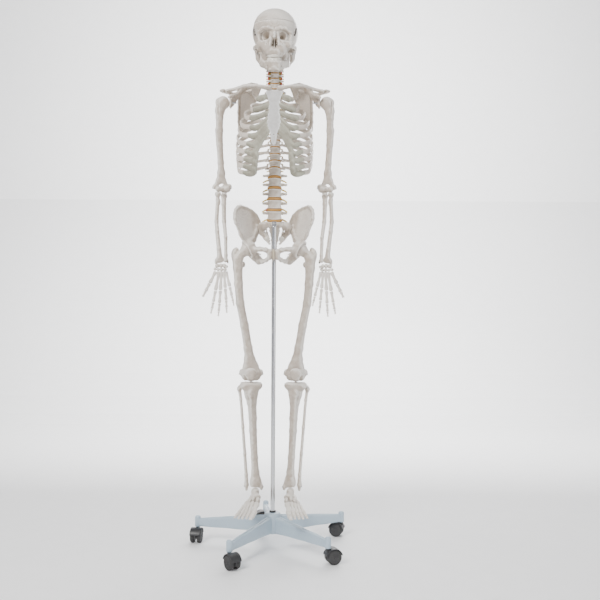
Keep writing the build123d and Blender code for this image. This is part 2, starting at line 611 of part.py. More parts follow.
def make_feet():
    """Seven tarsal bones, five metatarsals and fourteen toe bones a side, each clear of the next."""
    x, z = ANKLE_HALF_SPAN, SOLE
    cuboid = (x + 24, -44, z + 24)
    talus = lump((x + 2, -4, ANKLE - 15), (13, 23, 12)) - lump(cuboid, (10, 16, 10))
    bones = [
        talus,
        turned((x + 9, 50, z + 16), (x + 8, -24, z + 25), [13, 14, 13, 11]),
        lump((x - 3, -38, z + 46), (15, 7.5, 11)),
        lump(cuboid, (9, 15, 9)),
        lump((x - 9, -59, z + 38), (6.5, 10, 10)),
        lump((x + 5, -57, z + 43), (5.5, 8.5, 8)),
        lump((x + 16, -58, z + 37), (4.5, 8.5, 8)),
    ]
    bases = [(-8, -73, 33), (5, -69, 36), (15, -70, 33), (24, -65, 28), (33, -58, 23)]
    heads = [(-1, -128, 15), (13, -134, 17), (25, -130, 15), (36, -122, 13), (47, -110, 12)]
    for base, head, widths in zip(bases, heads, METATARSAL_WIDTHS):
        bones.append(turned((x + base[0], base[1], z + base[2]), (x + head[0], head[1], z + head[2]), widths))
    for i, (base, head) in enumerate(zip(bases, heads)):
        run = hypot(head[0] - base[0], head[1] - base[1])
        ahead = Vector((head[0] - base[0]) / run, (head[1] - base[1]) / run, 0)
        lengths = (31, 23) if i == 0 else (24 - i, 11, 10)
        start = Vector(x + head[0], head[1], z + head[2]) + ahead * 2
        for length, drop in zip(lengths, (1.5, 2.5, 1.0)):
            end = start + ahead * (length - 1) - Vector(0, 0, drop)
            bones.append(turned(start, end, (7, 5, 6) if i == 0 else (4.4, 3.2, 4.0)))
            start = end + ahead * 1.2
    save_pair("foot_bones", *[b & block((-500, -500, SOLE), (500, 500, ANKLE - 0.5)) for b in bones])


# ---------------------------------------------------------------- thorax
def rib_shape(number):
    """(side half width, drop from back to front, front end x, front end y) of a rib."""
    share = (number - 1) / 11
    half_width = CAGE_HALF_WIDTH * min(1.0, 0.44 + 0.235 * (number - 1) - 0.0265 * (number - 1) ** 2)
    half_width = CAGE_HALF_WIDTH if 6 <= number <= 9 else half_width
    half_width = {10: CAGE_HALF_WIDTH - 2, 11: CAGE_HALF_WIDTH - 9, 12: CAGE_HALF_WIDTH - 26}.get(number, half_width)
    drop = min(24 + 13.5 * (number - 1), 96)
    front_x = min(50 + 10 * (number - 1), 78) if number < 6 else 78 + 3.5 * (number - 5)
    front_y = STERNUM_TOP_FRONT + (CAGE_FRONT - STERNUM_TOP_FRONT) * min(0.15 + 1.1 * share * 2, 0.72)
    front_y += max(0, number - 7) * 9
    return half_width, drop, front_x, front_y


def rib_route(number):
    """Corners of a left rib's route, from its head beside the vertebra round to its front end."""
    half_width, drop, front_x, front_y = rib_shape(number)
    vertebra_width, vertebra_depth = BODY_OF["thoracic", number][1:]
    middle = VERTEBRA_AT["thoracic", number]
    body_height = BODY_OF["thoracic", number][0]
    back_y, level = middle.origin.Y, middle.origin.Z + body_height * 0.1
    angle_y = back_y + vertebra_depth / 2 + 14
    slope = drop / (angle_y - front_y)
    plan = [
        (vertebra_width / 2 + CLEAR + RIB_THICKNESS / 2, back_y + vertebra_depth * 0.28),
        (half_width * 0.30 + 10, angle_y - 9),
        (half_width * 0.60 + 8, angle_y + 3),
        (half_width * 0.98, angle_y - 34 - 8 * number / 12),
        (half_width * 1.03, (angle_y + front_y) / 2 - 14),
        (front_x + (half_width - front_x) * 0.72, front_y + 26),
        (front_x, front_y),
    ]
    if number == 1:
        plan = [plan[0], (40, angle_y - 6), (62, back_y - 8), (66, front_y + 10), (front_x, front_y)]
    if number > 10:
        plan = plan[:4] + ([(half_width * 1.0, back_y - 40)] if number == 11 else [])
    return [(x, y, level + slope * (y - back_y)) for x, y in plan]


def sternum_plane():
    """Plane of the breastbone: origin at its notch, X to the left, Y down its length, normal forwards."""
    rise = FIRST_RIB_HEIGHT + 4
    lean = (CAGE_FRONT - STERNUM_TOP_FRONT) / STERNUM_LENGTH
    down = Vector(0, lean, -sqrt(1 - lean * lean))
    return Plane(origin=(0, STERNUM_TOP_FRONT, rise), x_dir=(1, 0, 0), z_dir=Vector(1, 0, 0).cross(down))


def sternum_point(across, down, off=0.0):
    """A point in space from a place on the breastbone."""
    plane = sternum_plane()
    return tuple(plane.from_local_coords((across, down, off)))


NOTCHES = (24, 53, 84, 108, 127, 139, 148)  # where cartilages 1 to 7 meet the breastbone, down from its notch


def sternum_half_width(down):
    """Half the breastbone's width this far below its notch."""
    stations = ((0, 24), (18, 29), (50, 15), (58, 13), (120, 18), (148, 15), (160, 9), (192, 4))
    for (d0, w0), (d1, w1) in zip(stations, stations[1:]):
        if down <= d1:
            return w0 + (w1 - w0) * (down - d0) / (d1 - d0)
    return 4


def make_sternum():
    """The breastbone, as one plate that narrows at its waist and at its tip."""
    downs = (0, 18, 50, 58, 120, 148, 160, STERNUM_LENGTH)
    outline = [(sternum_half_width(d), d) for d in downs] + [(-sternum_half_width(d), d) for d in reversed(downs)]
    plate = extrude(make_face(Polyline(*outline, close=True)), STERNUM_THICKNESS / 2, both=True)
    save("sternum", sternum_plane() * plate)


def cartilage(number):
    """A left cartilage, from its rib's end to the breastbone, or to the cartilage above it."""
    end, before = [Vector(*p) for p in (rib_route(number)[-1], rib_route(number)[-2])]
    ahead = (end - before).normalized()
    start = end + ahead * (3.0 if number == 1 else CLEAR)
    if number > 7:
        stop = start + Vector(-24, -11, 9)
        return bent([tuple(start), tuple(start + ahead * 13), tuple(stop)], 8, 5.5)
    down = NOTCHES[number - 1]
    stop = Vector(*sternum_point(sternum_half_width(down) + (4.5 if number == 1 else 3.5), down))
    if number == 1:
        return bent([tuple(start), tuple((start + stop) * 0.5 + Vector(0, 0, -1.5)), tuple(stop)], 10, 5.5)
    corner = start + ahead * (9 if number < 5 else 14)
    if number < 5:
        corner = Vector(corner.X, min(corner.Y, stop.Y + 6), corner.Z)
    return bent([tuple(start), tuple(corner), tuple(stop)], 8.5, 5.5)


def make_thorax():
    """Breastbone, ribs and the cartilages that join them."""
    make_sternum()
    ribs = [bent(rib_route(n), RIB_HEIGHT if n > 1 else RIB_HEIGHT - 2, RIB_THICKNESS) for n in range(1, 13)]
    save_pair("ribs", *ribs)
    bars = [cartilage(n) for n in range(1, 11)]
    save("costal_cartilages", *bars, *[mirror(b, about=Plane.YZ) for b in bars])


# ---------------------------------------------------------------- shoulders and arms
SOCKET_X = SHOULDER_HALF_SPAN - HUMERUS_HEAD_RADIUS - 5.0  # face of the shoulder's socket


def blade_plane():
    """Plane of the left shoulder blade: origin at its upper inner corner, X outwards, Y down its inner edge."""
    top, low = Vector(50, 104, SHOULDER + 74), Vector(118, 88, SHOULDER - 78)
    outward = Vector(0.84, -0.54, 0)
    normal = outward.cross(low - top).normalized()
    return Plane(origin=top, x_dir=normal.cross(low - top) * -1, z_dir=normal)


def make_shoulders():
    """Collar bones, shoulder blades and the shoulder links."""
    notch = sternum_point(0, 0)
    collar = [
        (29, notch[1] - 4, notch[2] + 6),
        (62, notch[1] - 10, notch[2] + 9),
        (112, notch[1] + 22, notch[2] + 14),
        (SHOULDER_HALF_SPAN - 18, SHOULDER_Y - 8, SHOULDER + 37),
    ]
    save_pair("clavicle", bent(collar, 12.5, 11))
    y, z, span = SHOULDER_Y, SHOULDER, SHOULDER_HALF_SPAN
    outline = [(0, 0), (4, 70), (0, 166), (16, 160), (34, 120), (62, 70), (78, 44), (72, 26), (40, -6)]
    blade = blade_plane() * extrude(make_face(Polyline(*outline, close=True)), BLADE_THICKNESS / 2, both=True)
    blade += turned((SOCKET_X - 36, 54, z - 2), (SOCKET_X - 4, y + 4, z), [9, 9, 12])
    blade += lump((SOCKET_X - 1.5, y, z), (5, 12, 17))
    ridge = [(66, 98, z + 24), (118, 76, z + 36), (span - 6, 44, z + 37), (span + 2, 6, z + 35)]
    blade += bent(ridge, 16, 9)
    blade += turned((SOCKET_X - 16, 22, z + 4), (SOCKET_X - 20, -26, z + 17), [8, 6, 6, 7])
    blade -= rod((SOCKET_X - 24, y, z), (SOCKET_X + 9, y, z), LINK_DIAMETER / 2 + RUNNING)
    save_pair("scapula", blade)
    save_pair("shoulder_link", ball_link((span, y, z), SOCKET_X - 18))


ELBOW = SHOULDER - HUMERUS_LENGTH
WRIST = ELBOW - FOREARM_LENGTH


def make_arms():
    """Humerus, ulna and radius of each side."""
    x, y, shaft = ELBOW_HALF_SPAN, SHOULDER_Y, HUMERUS_SHAFT_RADIUS
    top_x = SHOULDER_HALF_SPAN
    humerus = column(
        (x, y, ELBOW + 8, 28, 8),
        (x, y, ELBOW + 26, 25, 8),
        (x + 1, y, ELBOW + 62, 13, 10),
        (x + 6, y, ELBOW + 140, shaft, shaft),
        (top_x + 11, y, SHOULDER - 70, shaft + 1, shaft + 1),
        (top_x + 9, y, SHOULDER - 22, 17, 18),
        (top_x + 9, y, SHOULDER + 8, 16, 18),
        (top_x + 8, y, SHOULDER + 17, 9, 10),
    )
    humerus += Pos(top_x, y, SHOULDER) * Sphere(HUMERUS_HEAD_RADIUS)
    humerus += rod((x - 20, y, ELBOW), (x + 20, y, ELBOW), ELBOW_BARREL_RADIUS)
    humerus -= link_slot((top_x, y, SHOULDER), HUMERUS_HEAD_RADIUS, SHOULDER_SPREAD)
    save_pair("humerus", humerus)
    notch = ELBOW_BARREL_RADIUS + FREE
    wrist_x = WRIST_HALF_SPAN
    ulna = turned((x - 8, y + 2, ELBOW - notch + 3), (wrist_x - 13, WRIST_Y, WRIST + 12), [11, 8, 7, 6, 5.5, 5.5, 7])
    beak = rod((x - 16, y, ELBOW), (x, y, ELBOW), notch + 7)
    ulna += beak & block((0, y, ELBOW - 40), (400, y + 60, ELBOW + 4))
    ulna -= rod((x - 60, y, ELBOW), (x + 60, y, ELBOW), notch)
    save_pair("ulna", ulna)
    radius = turned((x + 14, y - 2, ELBOW - notch - 1), (wrist_x + 9, WRIST_Y, WRIST + 6), [9, 6, 6.5, 6.5, 7, 8, 12])
    save_pair("radius", radius - ulna)


THUMB_HEADING = -25
FINGER_WIDTHS = ((3.3, 3.2, 5), (4.6, 3.4, 4), (4, 3, 3.4), (3.6, 2.3, 2.6))
FINGERS = (  # across the hand, direction in degrees from the thumb's side, lengths from metacarpal to tip
    (-20, THUMB_HEADING, (44, 30, 21)),
    (-9, -10, (64, 38, 22, 16)),
    (-1, -3, (62, 42, 26, 17)),
    (7, 5, (55, 39, 25, 17)),
    (14, 14, (51, 31, 18, 15)),
)


def make_hands():
    """Eight carpal bones, five metacarpals and fourteen finger bones a side, each clear of the next."""
    bones = []
    for row, radius in enumerate((5.0, 4.6)):
        for k in range(4):
            arch = 0.7 if k in (0, 3) else 0.0
            centre_z = WRIST - 6.2 - 11.2 * row - arch * (1 - 2 * row)
            bones.append(lump((WRIST_HALF_SPAN + 16.5 - 11.2 * k, WRIST_Y, centre_z), (5.3, 6.5, radius)))
    for across, heading, lengths in FINGERS:
        lean = radians(heading)
        start = Vector(WRIST_HALF_SPAN - across, WRIST_Y, WRIST - 24.6)
        for k, length in enumerate(lengths):
            pitch = radians(12 + 6 * k) if heading == THUMB_HEADING else radians(7 * k)
            step = Vector(-sin(lean) * cos(pitch), -sin(pitch), -cos(lean) * cos(pitch))
            bones.append(turned(start, start + step * length, FINGER_WIDTHS[k]))
            start += step * (length + 1.2)
    save_pair("hand_bones", *bones)


# ---------------------------------------------------------------- skull
def make_skull():
    """Cap, base with the upper face, lower jaw and the jaw's pins."""
    crown = CONDYLES.Z + SKULL_HEIGHT
    half_height = (SKULL_HEIGHT - 2) / 2
    middle = (0, CONDYLES.Y - 6, crown - half_height)
    outer = lump(middle, (SKULL_HALF_WIDTH, SKULL_HALF_LENGTH, half_height))
    inner = lump(middle, (SKULL_HALF_WIDTH - SKULL_WALL, SKULL_HALF_LENGTH - SKULL_WALL, half_height - SKULL_WALL))
    shell = outer - inner
    cut = crown - CAP_CUT_DROP
    save("skull_cap", shell & block((-200, -200, cut + SAW_CUT / 2), (200, 200, 9999)))
    lower = shell & block((-200, -200, 0), (200, 200, cut - SAW_CUT / 2))
    front = middle[1] - SKULL_HALF_LENGTH
    teeth = CONDYLES.Z - TEETH_DROP
    face = column(
        (0, front + 27, teeth, 25, 21),
        (0, front + 26, teeth + 20, 27, 22),
        (0, front + 28, teeth + 45, 40, 26),
        (0, front + 31, teeth + 72, 50, 30),
        (0, front + 37, teeth + 92, 52, 34),
    )
    base = lower + (face - inner)
    jaw_z = CONDYLES.Z + JAW_AXIS_RISE
    boss = rod((0, CONDYLES.Y, CONDYLES.Z), (0, CONDYLES.Y, CONDYLES.Z + ROD_REACH + 5), 9)
    base += boss
    base -= rod((0, CONDYLES.Y, 0), (0, CONDYLES.Y, CONDYLES.Z + ROD_REACH + 0.5), ROD_DIAMETER / 2 + RUNNING)
    base -= rod((0, CONDYLES.Y + 24, 0), (0, CONDYLES.Y + 24, middle[2]), 13)
    for side in SIDES.values():
        cheek = [(42, front + 26, teeth + 52), (60, front + 40, teeth + 54)]
        cheek += [(66, JAW_AXIS_Y - 8, teeth + 58), (63, JAW_AXIS_Y + 22, teeth + 60)]
        base += bent([mirrored(side, p) for p in cheek], 9, 6)
        base += turned(mirrored(side, (56, 34, CONDYLES.Z + 30)), mirrored(side, (51, 30, CONDYLES.Z - 18)), [13, 12, 9])
        lug = (JAW_HALF_SPAN + 6.5, JAW_AXIS_Y, jaw_z)
        base += turned(mirrored(side, (66, JAW_AXIS_Y + 4, jaw_z + 24)), mirrored(side, lug), [6, 6, 5])
        base += rod(mirrored(side, lug), mirrored(side, (lug[0] + 7, *lug[1:])), 6)
        orbit = Plane(origin=mirrored(side, (31, front - 12, teeth + 75)), z_dir=(-side * 0.3, 1, 0.05))
        base -= orbit * Cone(21, 8, 54, align=(Align.CENTER, Align.CENTER, Align.MIN))
        knuckle = (JAW_HALF_SPAN - 9, JAW_AXIS_Y, jaw_z)
        base -= rod(mirrored(side, knuckle), mirrored(side, (lug[0], *lug[1:])), KNUCKLE_RADIUS + FREE)
    base -= turned((0, front - 14, teeth + 46), (0, front + 44, teeth + 52), [11, 12, 10])
    base -= jaw_pin(LEFT, 0.0) + jaw_pin(RIGHT, 0.0)
    save("skull_base", base)
    save("mandible", mandible(front) - jaw_pin(LEFT, RUNNING) - jaw_pin(RIGHT, RUNNING))
    save("jaw_pins", jaw_pin(LEFT, 0.0), jaw_pin(RIGHT, 0.0))


def jaw_pin(side, clearance):
    """A hinge pin of the jaw, from the temple's lug inwards through the knuckle."""
    y, z = JAW_AXIS_Y, CONDYLES.Z + JAW_AXIS_RISE
    start, end = (JAW_HALF_SPAN - 4, y, z), (JAW_HALF_SPAN + 11, y, z)
    return rod(mirrored(side, start), mirrored(side, end), JAW_PIN_DIAMETER / 2 + clearance)


def mandible(front):
    """Horseshoe body with a sloping lower edge, and a branch up to the knuckle on each side."""
    jaw_z = CONDYLES.Z + JAW_AXIS_RISE
    chin, top = CONDYLES.Z - CHIN_DROP, CONDYLES.Z - TEETH_DROP - FREE
    span = JAW_HALF_SPAN
    outside = [(span + 4, 4), (span + 3, -22), (31, front + 24), (14, front + 10)]
    inside = [(span - 5, 4), (span - 6, -20), (20, front + 28), (9, front + 22)]
    plan = [*outside, *[(-a, b) for a, b in reversed(outside)], *[(-a, b) for a, b in inside], *reversed(inside)]
    jaw = Pos(0, 0, chin) * extrude(make_face(Polyline(*plan, close=True)), top - chin)
    slope = Plane(origin=(0, front + 20, chin), x_dir=(1, 0, 0), z_dir=(0, -0.33, 0.94))
    jaw -= slope * Box(300, 300, 90, align=(Align.CENTER, Align.CENTER, Align.MAX))
    for side in SIDES.values():
        x = side * (span - 0.5)
        branch = loft([Pos(x, -8, chin + 33) * Rectangle(8, 30), Pos(x, -4, jaw_z - 14) * Rectangle(6, 26)])
        stalk = Pos(x, JAW_AXIS_Y - 1, jaw_z - 14) * Box(5, 9, 14, align=(Align.CENTER, Align.CENTER, Align.MIN))
        ends = [mirrored(side, (span + dx, JAW_AXIS_Y, jaw_z)) for dx in (-5, 4)]
        jaw += branch + stalk + rod(*ends, KNUCKLE_RADIUS)
    return jaw


# ---------------------------------------------------------------- everything
make_base()
make_pole()
make_castors()
make_spine()
make_sacrum()
make_hanger()
make_hip_bones()
make_legs()
make_feet()
make_thorax()
make_shoulders()
make_arms()
make_hands()
make_skull()
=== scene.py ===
import json
from math import cos, pi, radians, sin, sqrt

import bpy
import numpy as np
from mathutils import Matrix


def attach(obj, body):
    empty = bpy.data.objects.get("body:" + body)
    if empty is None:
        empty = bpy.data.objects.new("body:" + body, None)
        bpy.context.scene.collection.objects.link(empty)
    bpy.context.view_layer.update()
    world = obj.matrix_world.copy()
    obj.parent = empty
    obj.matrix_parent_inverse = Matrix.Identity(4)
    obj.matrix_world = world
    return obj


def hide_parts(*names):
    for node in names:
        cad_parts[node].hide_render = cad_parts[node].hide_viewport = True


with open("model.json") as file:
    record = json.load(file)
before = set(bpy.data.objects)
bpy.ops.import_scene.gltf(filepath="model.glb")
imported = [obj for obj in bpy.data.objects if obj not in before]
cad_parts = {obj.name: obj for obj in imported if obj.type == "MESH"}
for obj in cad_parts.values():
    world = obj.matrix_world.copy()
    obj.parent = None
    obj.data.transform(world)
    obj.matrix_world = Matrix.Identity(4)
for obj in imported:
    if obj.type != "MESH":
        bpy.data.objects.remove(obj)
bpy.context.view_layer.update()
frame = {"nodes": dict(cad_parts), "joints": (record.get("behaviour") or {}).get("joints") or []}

import openvdb
from mathutils import Vector

# The whole object is worked out in millimetres and set down in metres.
MM = 0.001
COARSE = 1.0
CELL_SCALE = 1.24  # every lump of clay's grid, against the cell it asks for
LEVEL = 0.35  # the hollow value of a surface that is neither sunk nor proud


# ---------------------------------------------------------------- places that the frame gives
def joint(name):
    """A joint's place in millimetres."""
    place = next(j["pos_m"] for j in frame["joints"] if j["name"] == name)
    return np.array(place) / MM


def node_points(name):
    """The corners of a CAD node, in millimetres."""
    mesh = frame["nodes"][name].data
    points = np.empty(len(mesh.vertices) * 3, np.float32)
    mesh.vertices.foreach_get("co", points)
    return points.reshape(-1, 3).astype(float) / MM


def islands(name):
    """The separate solids of a CAD node, each as its own array of corners, from the lowest up."""
    mesh = frame["nodes"][name].data
    points = node_points(name)
    _, same = np.unique(np.round(points, 3), axis=0, return_inverse=True)
    same = same.ravel()
    edges = np.empty(len(mesh.edges) * 2, np.int32)
    mesh.edges.foreach_get("vertices", edges)
    a, b = same[edges.reshape(-1, 2)].T
    label = np.arange(same.max() + 1)
    while True:
        least = np.minimum(label[a], label[b])
        new = label.copy()
        np.minimum.at(new, a, least)
        np.minimum.at(new, b, least)
        new = new[new]
        if (new == label).all():
            break
        label = new
    label = label[same]
    parts = [points[label == k] for k in np.unique(label)]
    return sorted(parts, key=lambda p: p[:, 2].mean())


HIP = joint("hip_swing_left")
KNEE = joint("knee_left")
ANKLE = joint("ankle_left")
SHOULDER = joint("shoulder_swing_left")
ELBOW = joint("elbow_left")
WRIST = joint("wrist_left")
JAW = joint("jaw_open")
SOLE = node_points("foot_bones_left")[:, 2].min()
FLIP = np.array([-1.0, 1.0, 1.0])


# ---------------------------------------------------------------- meshes from whole arrays
def piece(name, points, faces, body, slot, material, replaces=(), smooth=True, shade=None):
    """One finished piece: points in millimetres, faces as arrays of quads and triangles, body and finish."""
    mesh = bpy.data.meshes.new(name)
    faces = [np.asarray(f, np.int32) for f in faces if len(f)]
    mesh.vertices.add(len(points))
    mesh.vertices.foreach_set("co", (np.asarray(points) * MM).astype(np.float32).ravel())
    loops = np.concatenate([f.ravel() for f in faces])
    mesh.loops.add(len(loops))
    mesh.loops.foreach_set("vertex_index", loops)
    sizes = np.concatenate([np.full(len(f), f.shape[1]) for f in faces])
    mesh.polygons.add(len(sizes))
    mesh.polygons.foreach_set("loop_start", np.concatenate([[0], np.cumsum(sizes)[:-1]]).astype(np.int32))
    mesh.polygons.foreach_set("use_smooth", np.full(len(sizes), smooth))
    mesh.update(calc_edges=True)
    # The hollow value, which the finishes turn into painted shade in concave places; a piece given none sits
    # at the level that gets no shade.
    shade = np.full(len(points), LEVEL) if shade is None else shade
    mesh.attributes.new("hollow", "FLOAT", "POINT").data.foreach_set("value", shade.astype(np.float32))
    mesh.materials.append(material)
    made = bpy.data.objects.new(name, mesh)
    bpy.context.scene.collection.objects.link(made)
    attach(made, body)
    if replaces:
        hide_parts(*replaces)
    return made


def joined(parts):
    """Several (points, faces) as one, with the faces' numbers moved on."""
    points, faces, count = [], [], 0
    for p, f in parts:
        points.append(p)
        faces += [np.asarray(g) + count for g in f if len(g)]
        count += len(p)
    return np.concatenate(points), faces


def flipped(part):
    """The mirror image of (points, faces), still facing outwards."""
    points, faces = part
    return points * FLIP, [f[:, ::-1] for f in faces]


def outward(points, faces):
    """The faces turned round if the closed surface they make holds a negative volume."""
    total = 0.0
    for f in faces:
        a, b, c = points[f[:, 0]], points[f[:, 1]], points[f[:, 2]]
        total += np.einsum("ij,ij->", a, np.cross(b, c))
        if f.shape[1] == 4:
            total += np.einsum("ij,ij->", a, np.cross(c, points[f[:, 3]]))
    return faces if total > 0 else [f[:, ::-1] for f in faces]


def tube_faces(rings, around):
    """Faces of a stack of rings whose first and last rings are single points at the poles."""
    i = np.arange(rings - 1)[:, None] * around + np.arange(around)[None, :]
    j = np.arange(rings - 1)[:, None] * around + (np.arange(around)[None, :] + 1) % around
    quads = np.stack([i, j, j + around, i + around], -1).reshape(-1, 4)
    low, high = rings * around, rings * around + 1
    k = np.arange(around)
    n = (k + 1) % around
    last = (rings - 1) * around
    return [quads, np.stack([n, k, np.full(around, low)], -1),
            np.stack([last + k, last + n, np.full(around, high)], -1)]


def smooth_line(points, count):
    """A curve through points, each stretch a cubic whose ends lean along their neighbours' chord."""
    p = np.asarray(points, float)
    p = np.vstack([2 * p[0] - p[1], p, 2 * p[-1] - p[-2]])
    t = np.linspace(0, len(p) - 3 - 1e-9, count)
    k = t.astype(int)
    u = (t - k)[:, None]
    a, b, c, d = p[k], p[k + 1], p[k + 2], p[k + 3]
    return 0.5 * (2 * b + (c - a) * u + (2 * a - 5 * b + 4 * c - d) * u**2 + (3 * b - a - 3 * c + d) * u**3)


def spread(values, count):
    """A row of values, evenly spaced along something, read off smoothly at count places."""
    values = np.atleast_1d(np.asarray(values, float))
    if len(values) == 1:
        return np.full(count, values[0])
    u = np.linspace(0, len(values) - 1, count)
    k = np.minimum(u.astype(int), len(values) - 2)
    f = u - k
    f = f * f * (3 - 2 * f)
    return values[k] * (1 - f) + values[k + 1] * f


def carried(points, widths, heights, up=(0, 0, 1), around=16, count=24, power=2.0, dome=1.0):
    """A closed bar: at each place on the route, the oval |u/width|^power + |v/height|^power = 1 across it.

    v points as nearly as it can along up; the ends close in domes, dome times as long as they are thick.
    """
    line = smooth_line(points, 200)
    run = np.concatenate([[0], np.cumsum(np.linalg.norm(np.diff(line, axis=0), axis=1))])
    length = run[-1]
    w_all, h_all = spread(widths, 200), spread(heights, 200)
    tip = np.minimum(dome * min(w_all[0], h_all[0]), length / 3), np.minimum(dome * min(w_all[-1], h_all[-1]),
                                                                             length / 3)
    bend = np.sin(np.linspace(0.12, 1, 5) * pi / 2)
    at = np.concatenate([tip[0] * (1 - np.cos(np.linspace(0.12, 1, 5) * pi / 2)),
                         np.linspace(tip[0], length - tip[1], count)[1:-1],
                         length - (tip[1] * (1 - np.cos(np.linspace(0.12, 1, 5) * pi / 2)))[::-1]])
    shrink = np.concatenate([bend, np.ones(count - 2), bend[::-1]])
    here = np.stack([np.interp(at, run, line[:, k]) for k in range(3)], -1)
    along = np.gradient(line, axis=0)
    along = np.stack([np.interp(at, run, along[:, k]) for k in range(3)], -1)
    along /= np.linalg.norm(along, axis=1, keepdims=True)
    up = np.broadcast_to(np.asarray(up, float), (200, 3))
    up = np.stack([np.interp(at, run, up[:, k]) for k in range(3)], -1)
    across = np.cross(along, up)
    across /= np.linalg.norm(across, axis=1, keepdims=True)
    lift = np.cross(across, along)
    w, h = np.interp(at, run, w_all) * shrink, np.interp(at, run, h_all) * shrink
    angle = np.linspace(0, 2 * pi, around, endpoint=False)
    cx = np.sign(np.cos(angle)) * np.abs(np.cos(angle)) ** (2 / power)
    cy = np.sign(np.sin(angle)) * np.abs(np.sin(angle)) ** (2 / power)
    ring = here[:, None] + across[:, None] * (w[:, None] * cx)[..., None] + lift[:,
                                                                                 None] * (h[:,
                                                                                            None] * cy)[...,
                                                                                                        None]
    made = np.concatenate([ring.reshape(-1, 3), line[:1], line[-1:]])
    return made, outward(made, tube_faces(len(at), around))


def lathe(radii, heights, centre=(0, 0, 0), axis=(0, 0, 1), around=40):
    """A round piece: radius against height along an axis through centre; both ends close at a pole."""
    axis = np.asarray(axis, float) / np.linalg.norm(axis)
    side = np.cross(axis, (0, 0, 1) if abs(axis[2]) < 0.9 else (1, 0, 0))
    side /= np.linalg.norm(side)
    other = np.cross(axis, side)
    angle = np.linspace(0, 2 * pi, around, endpoint=False)
    r, h = np.asarray(radii, float), np.asarray(heights, float)
    spoke = np.cos(angle)[:, None] * side + np.sin(angle)[:, None] * other
    ring = np.asarray(centre) + h[:, None, None] * axis + r[:, None, None] * spoke[None]
    ends = np.asarray(centre) + np.array([h[0], h[-1]])[:, None] * axis
    made = np.concatenate([ring.reshape(-1, 3), ends])
    return made, outward(made, tube_faces(len(r), around))


# ---------------------------------------------------------------- clay: a solid as a grid of distances
def least(a, b, k):
    """The smaller of two distances, rounded off where they are within k of each other."""
    if k <= 0:
        return np.minimum(a, b)
    h = np.clip(0.5 + 0.5 * (b - a) / k, 0, 1)
    return b + (a - b) * h - k * h * (1 - h)


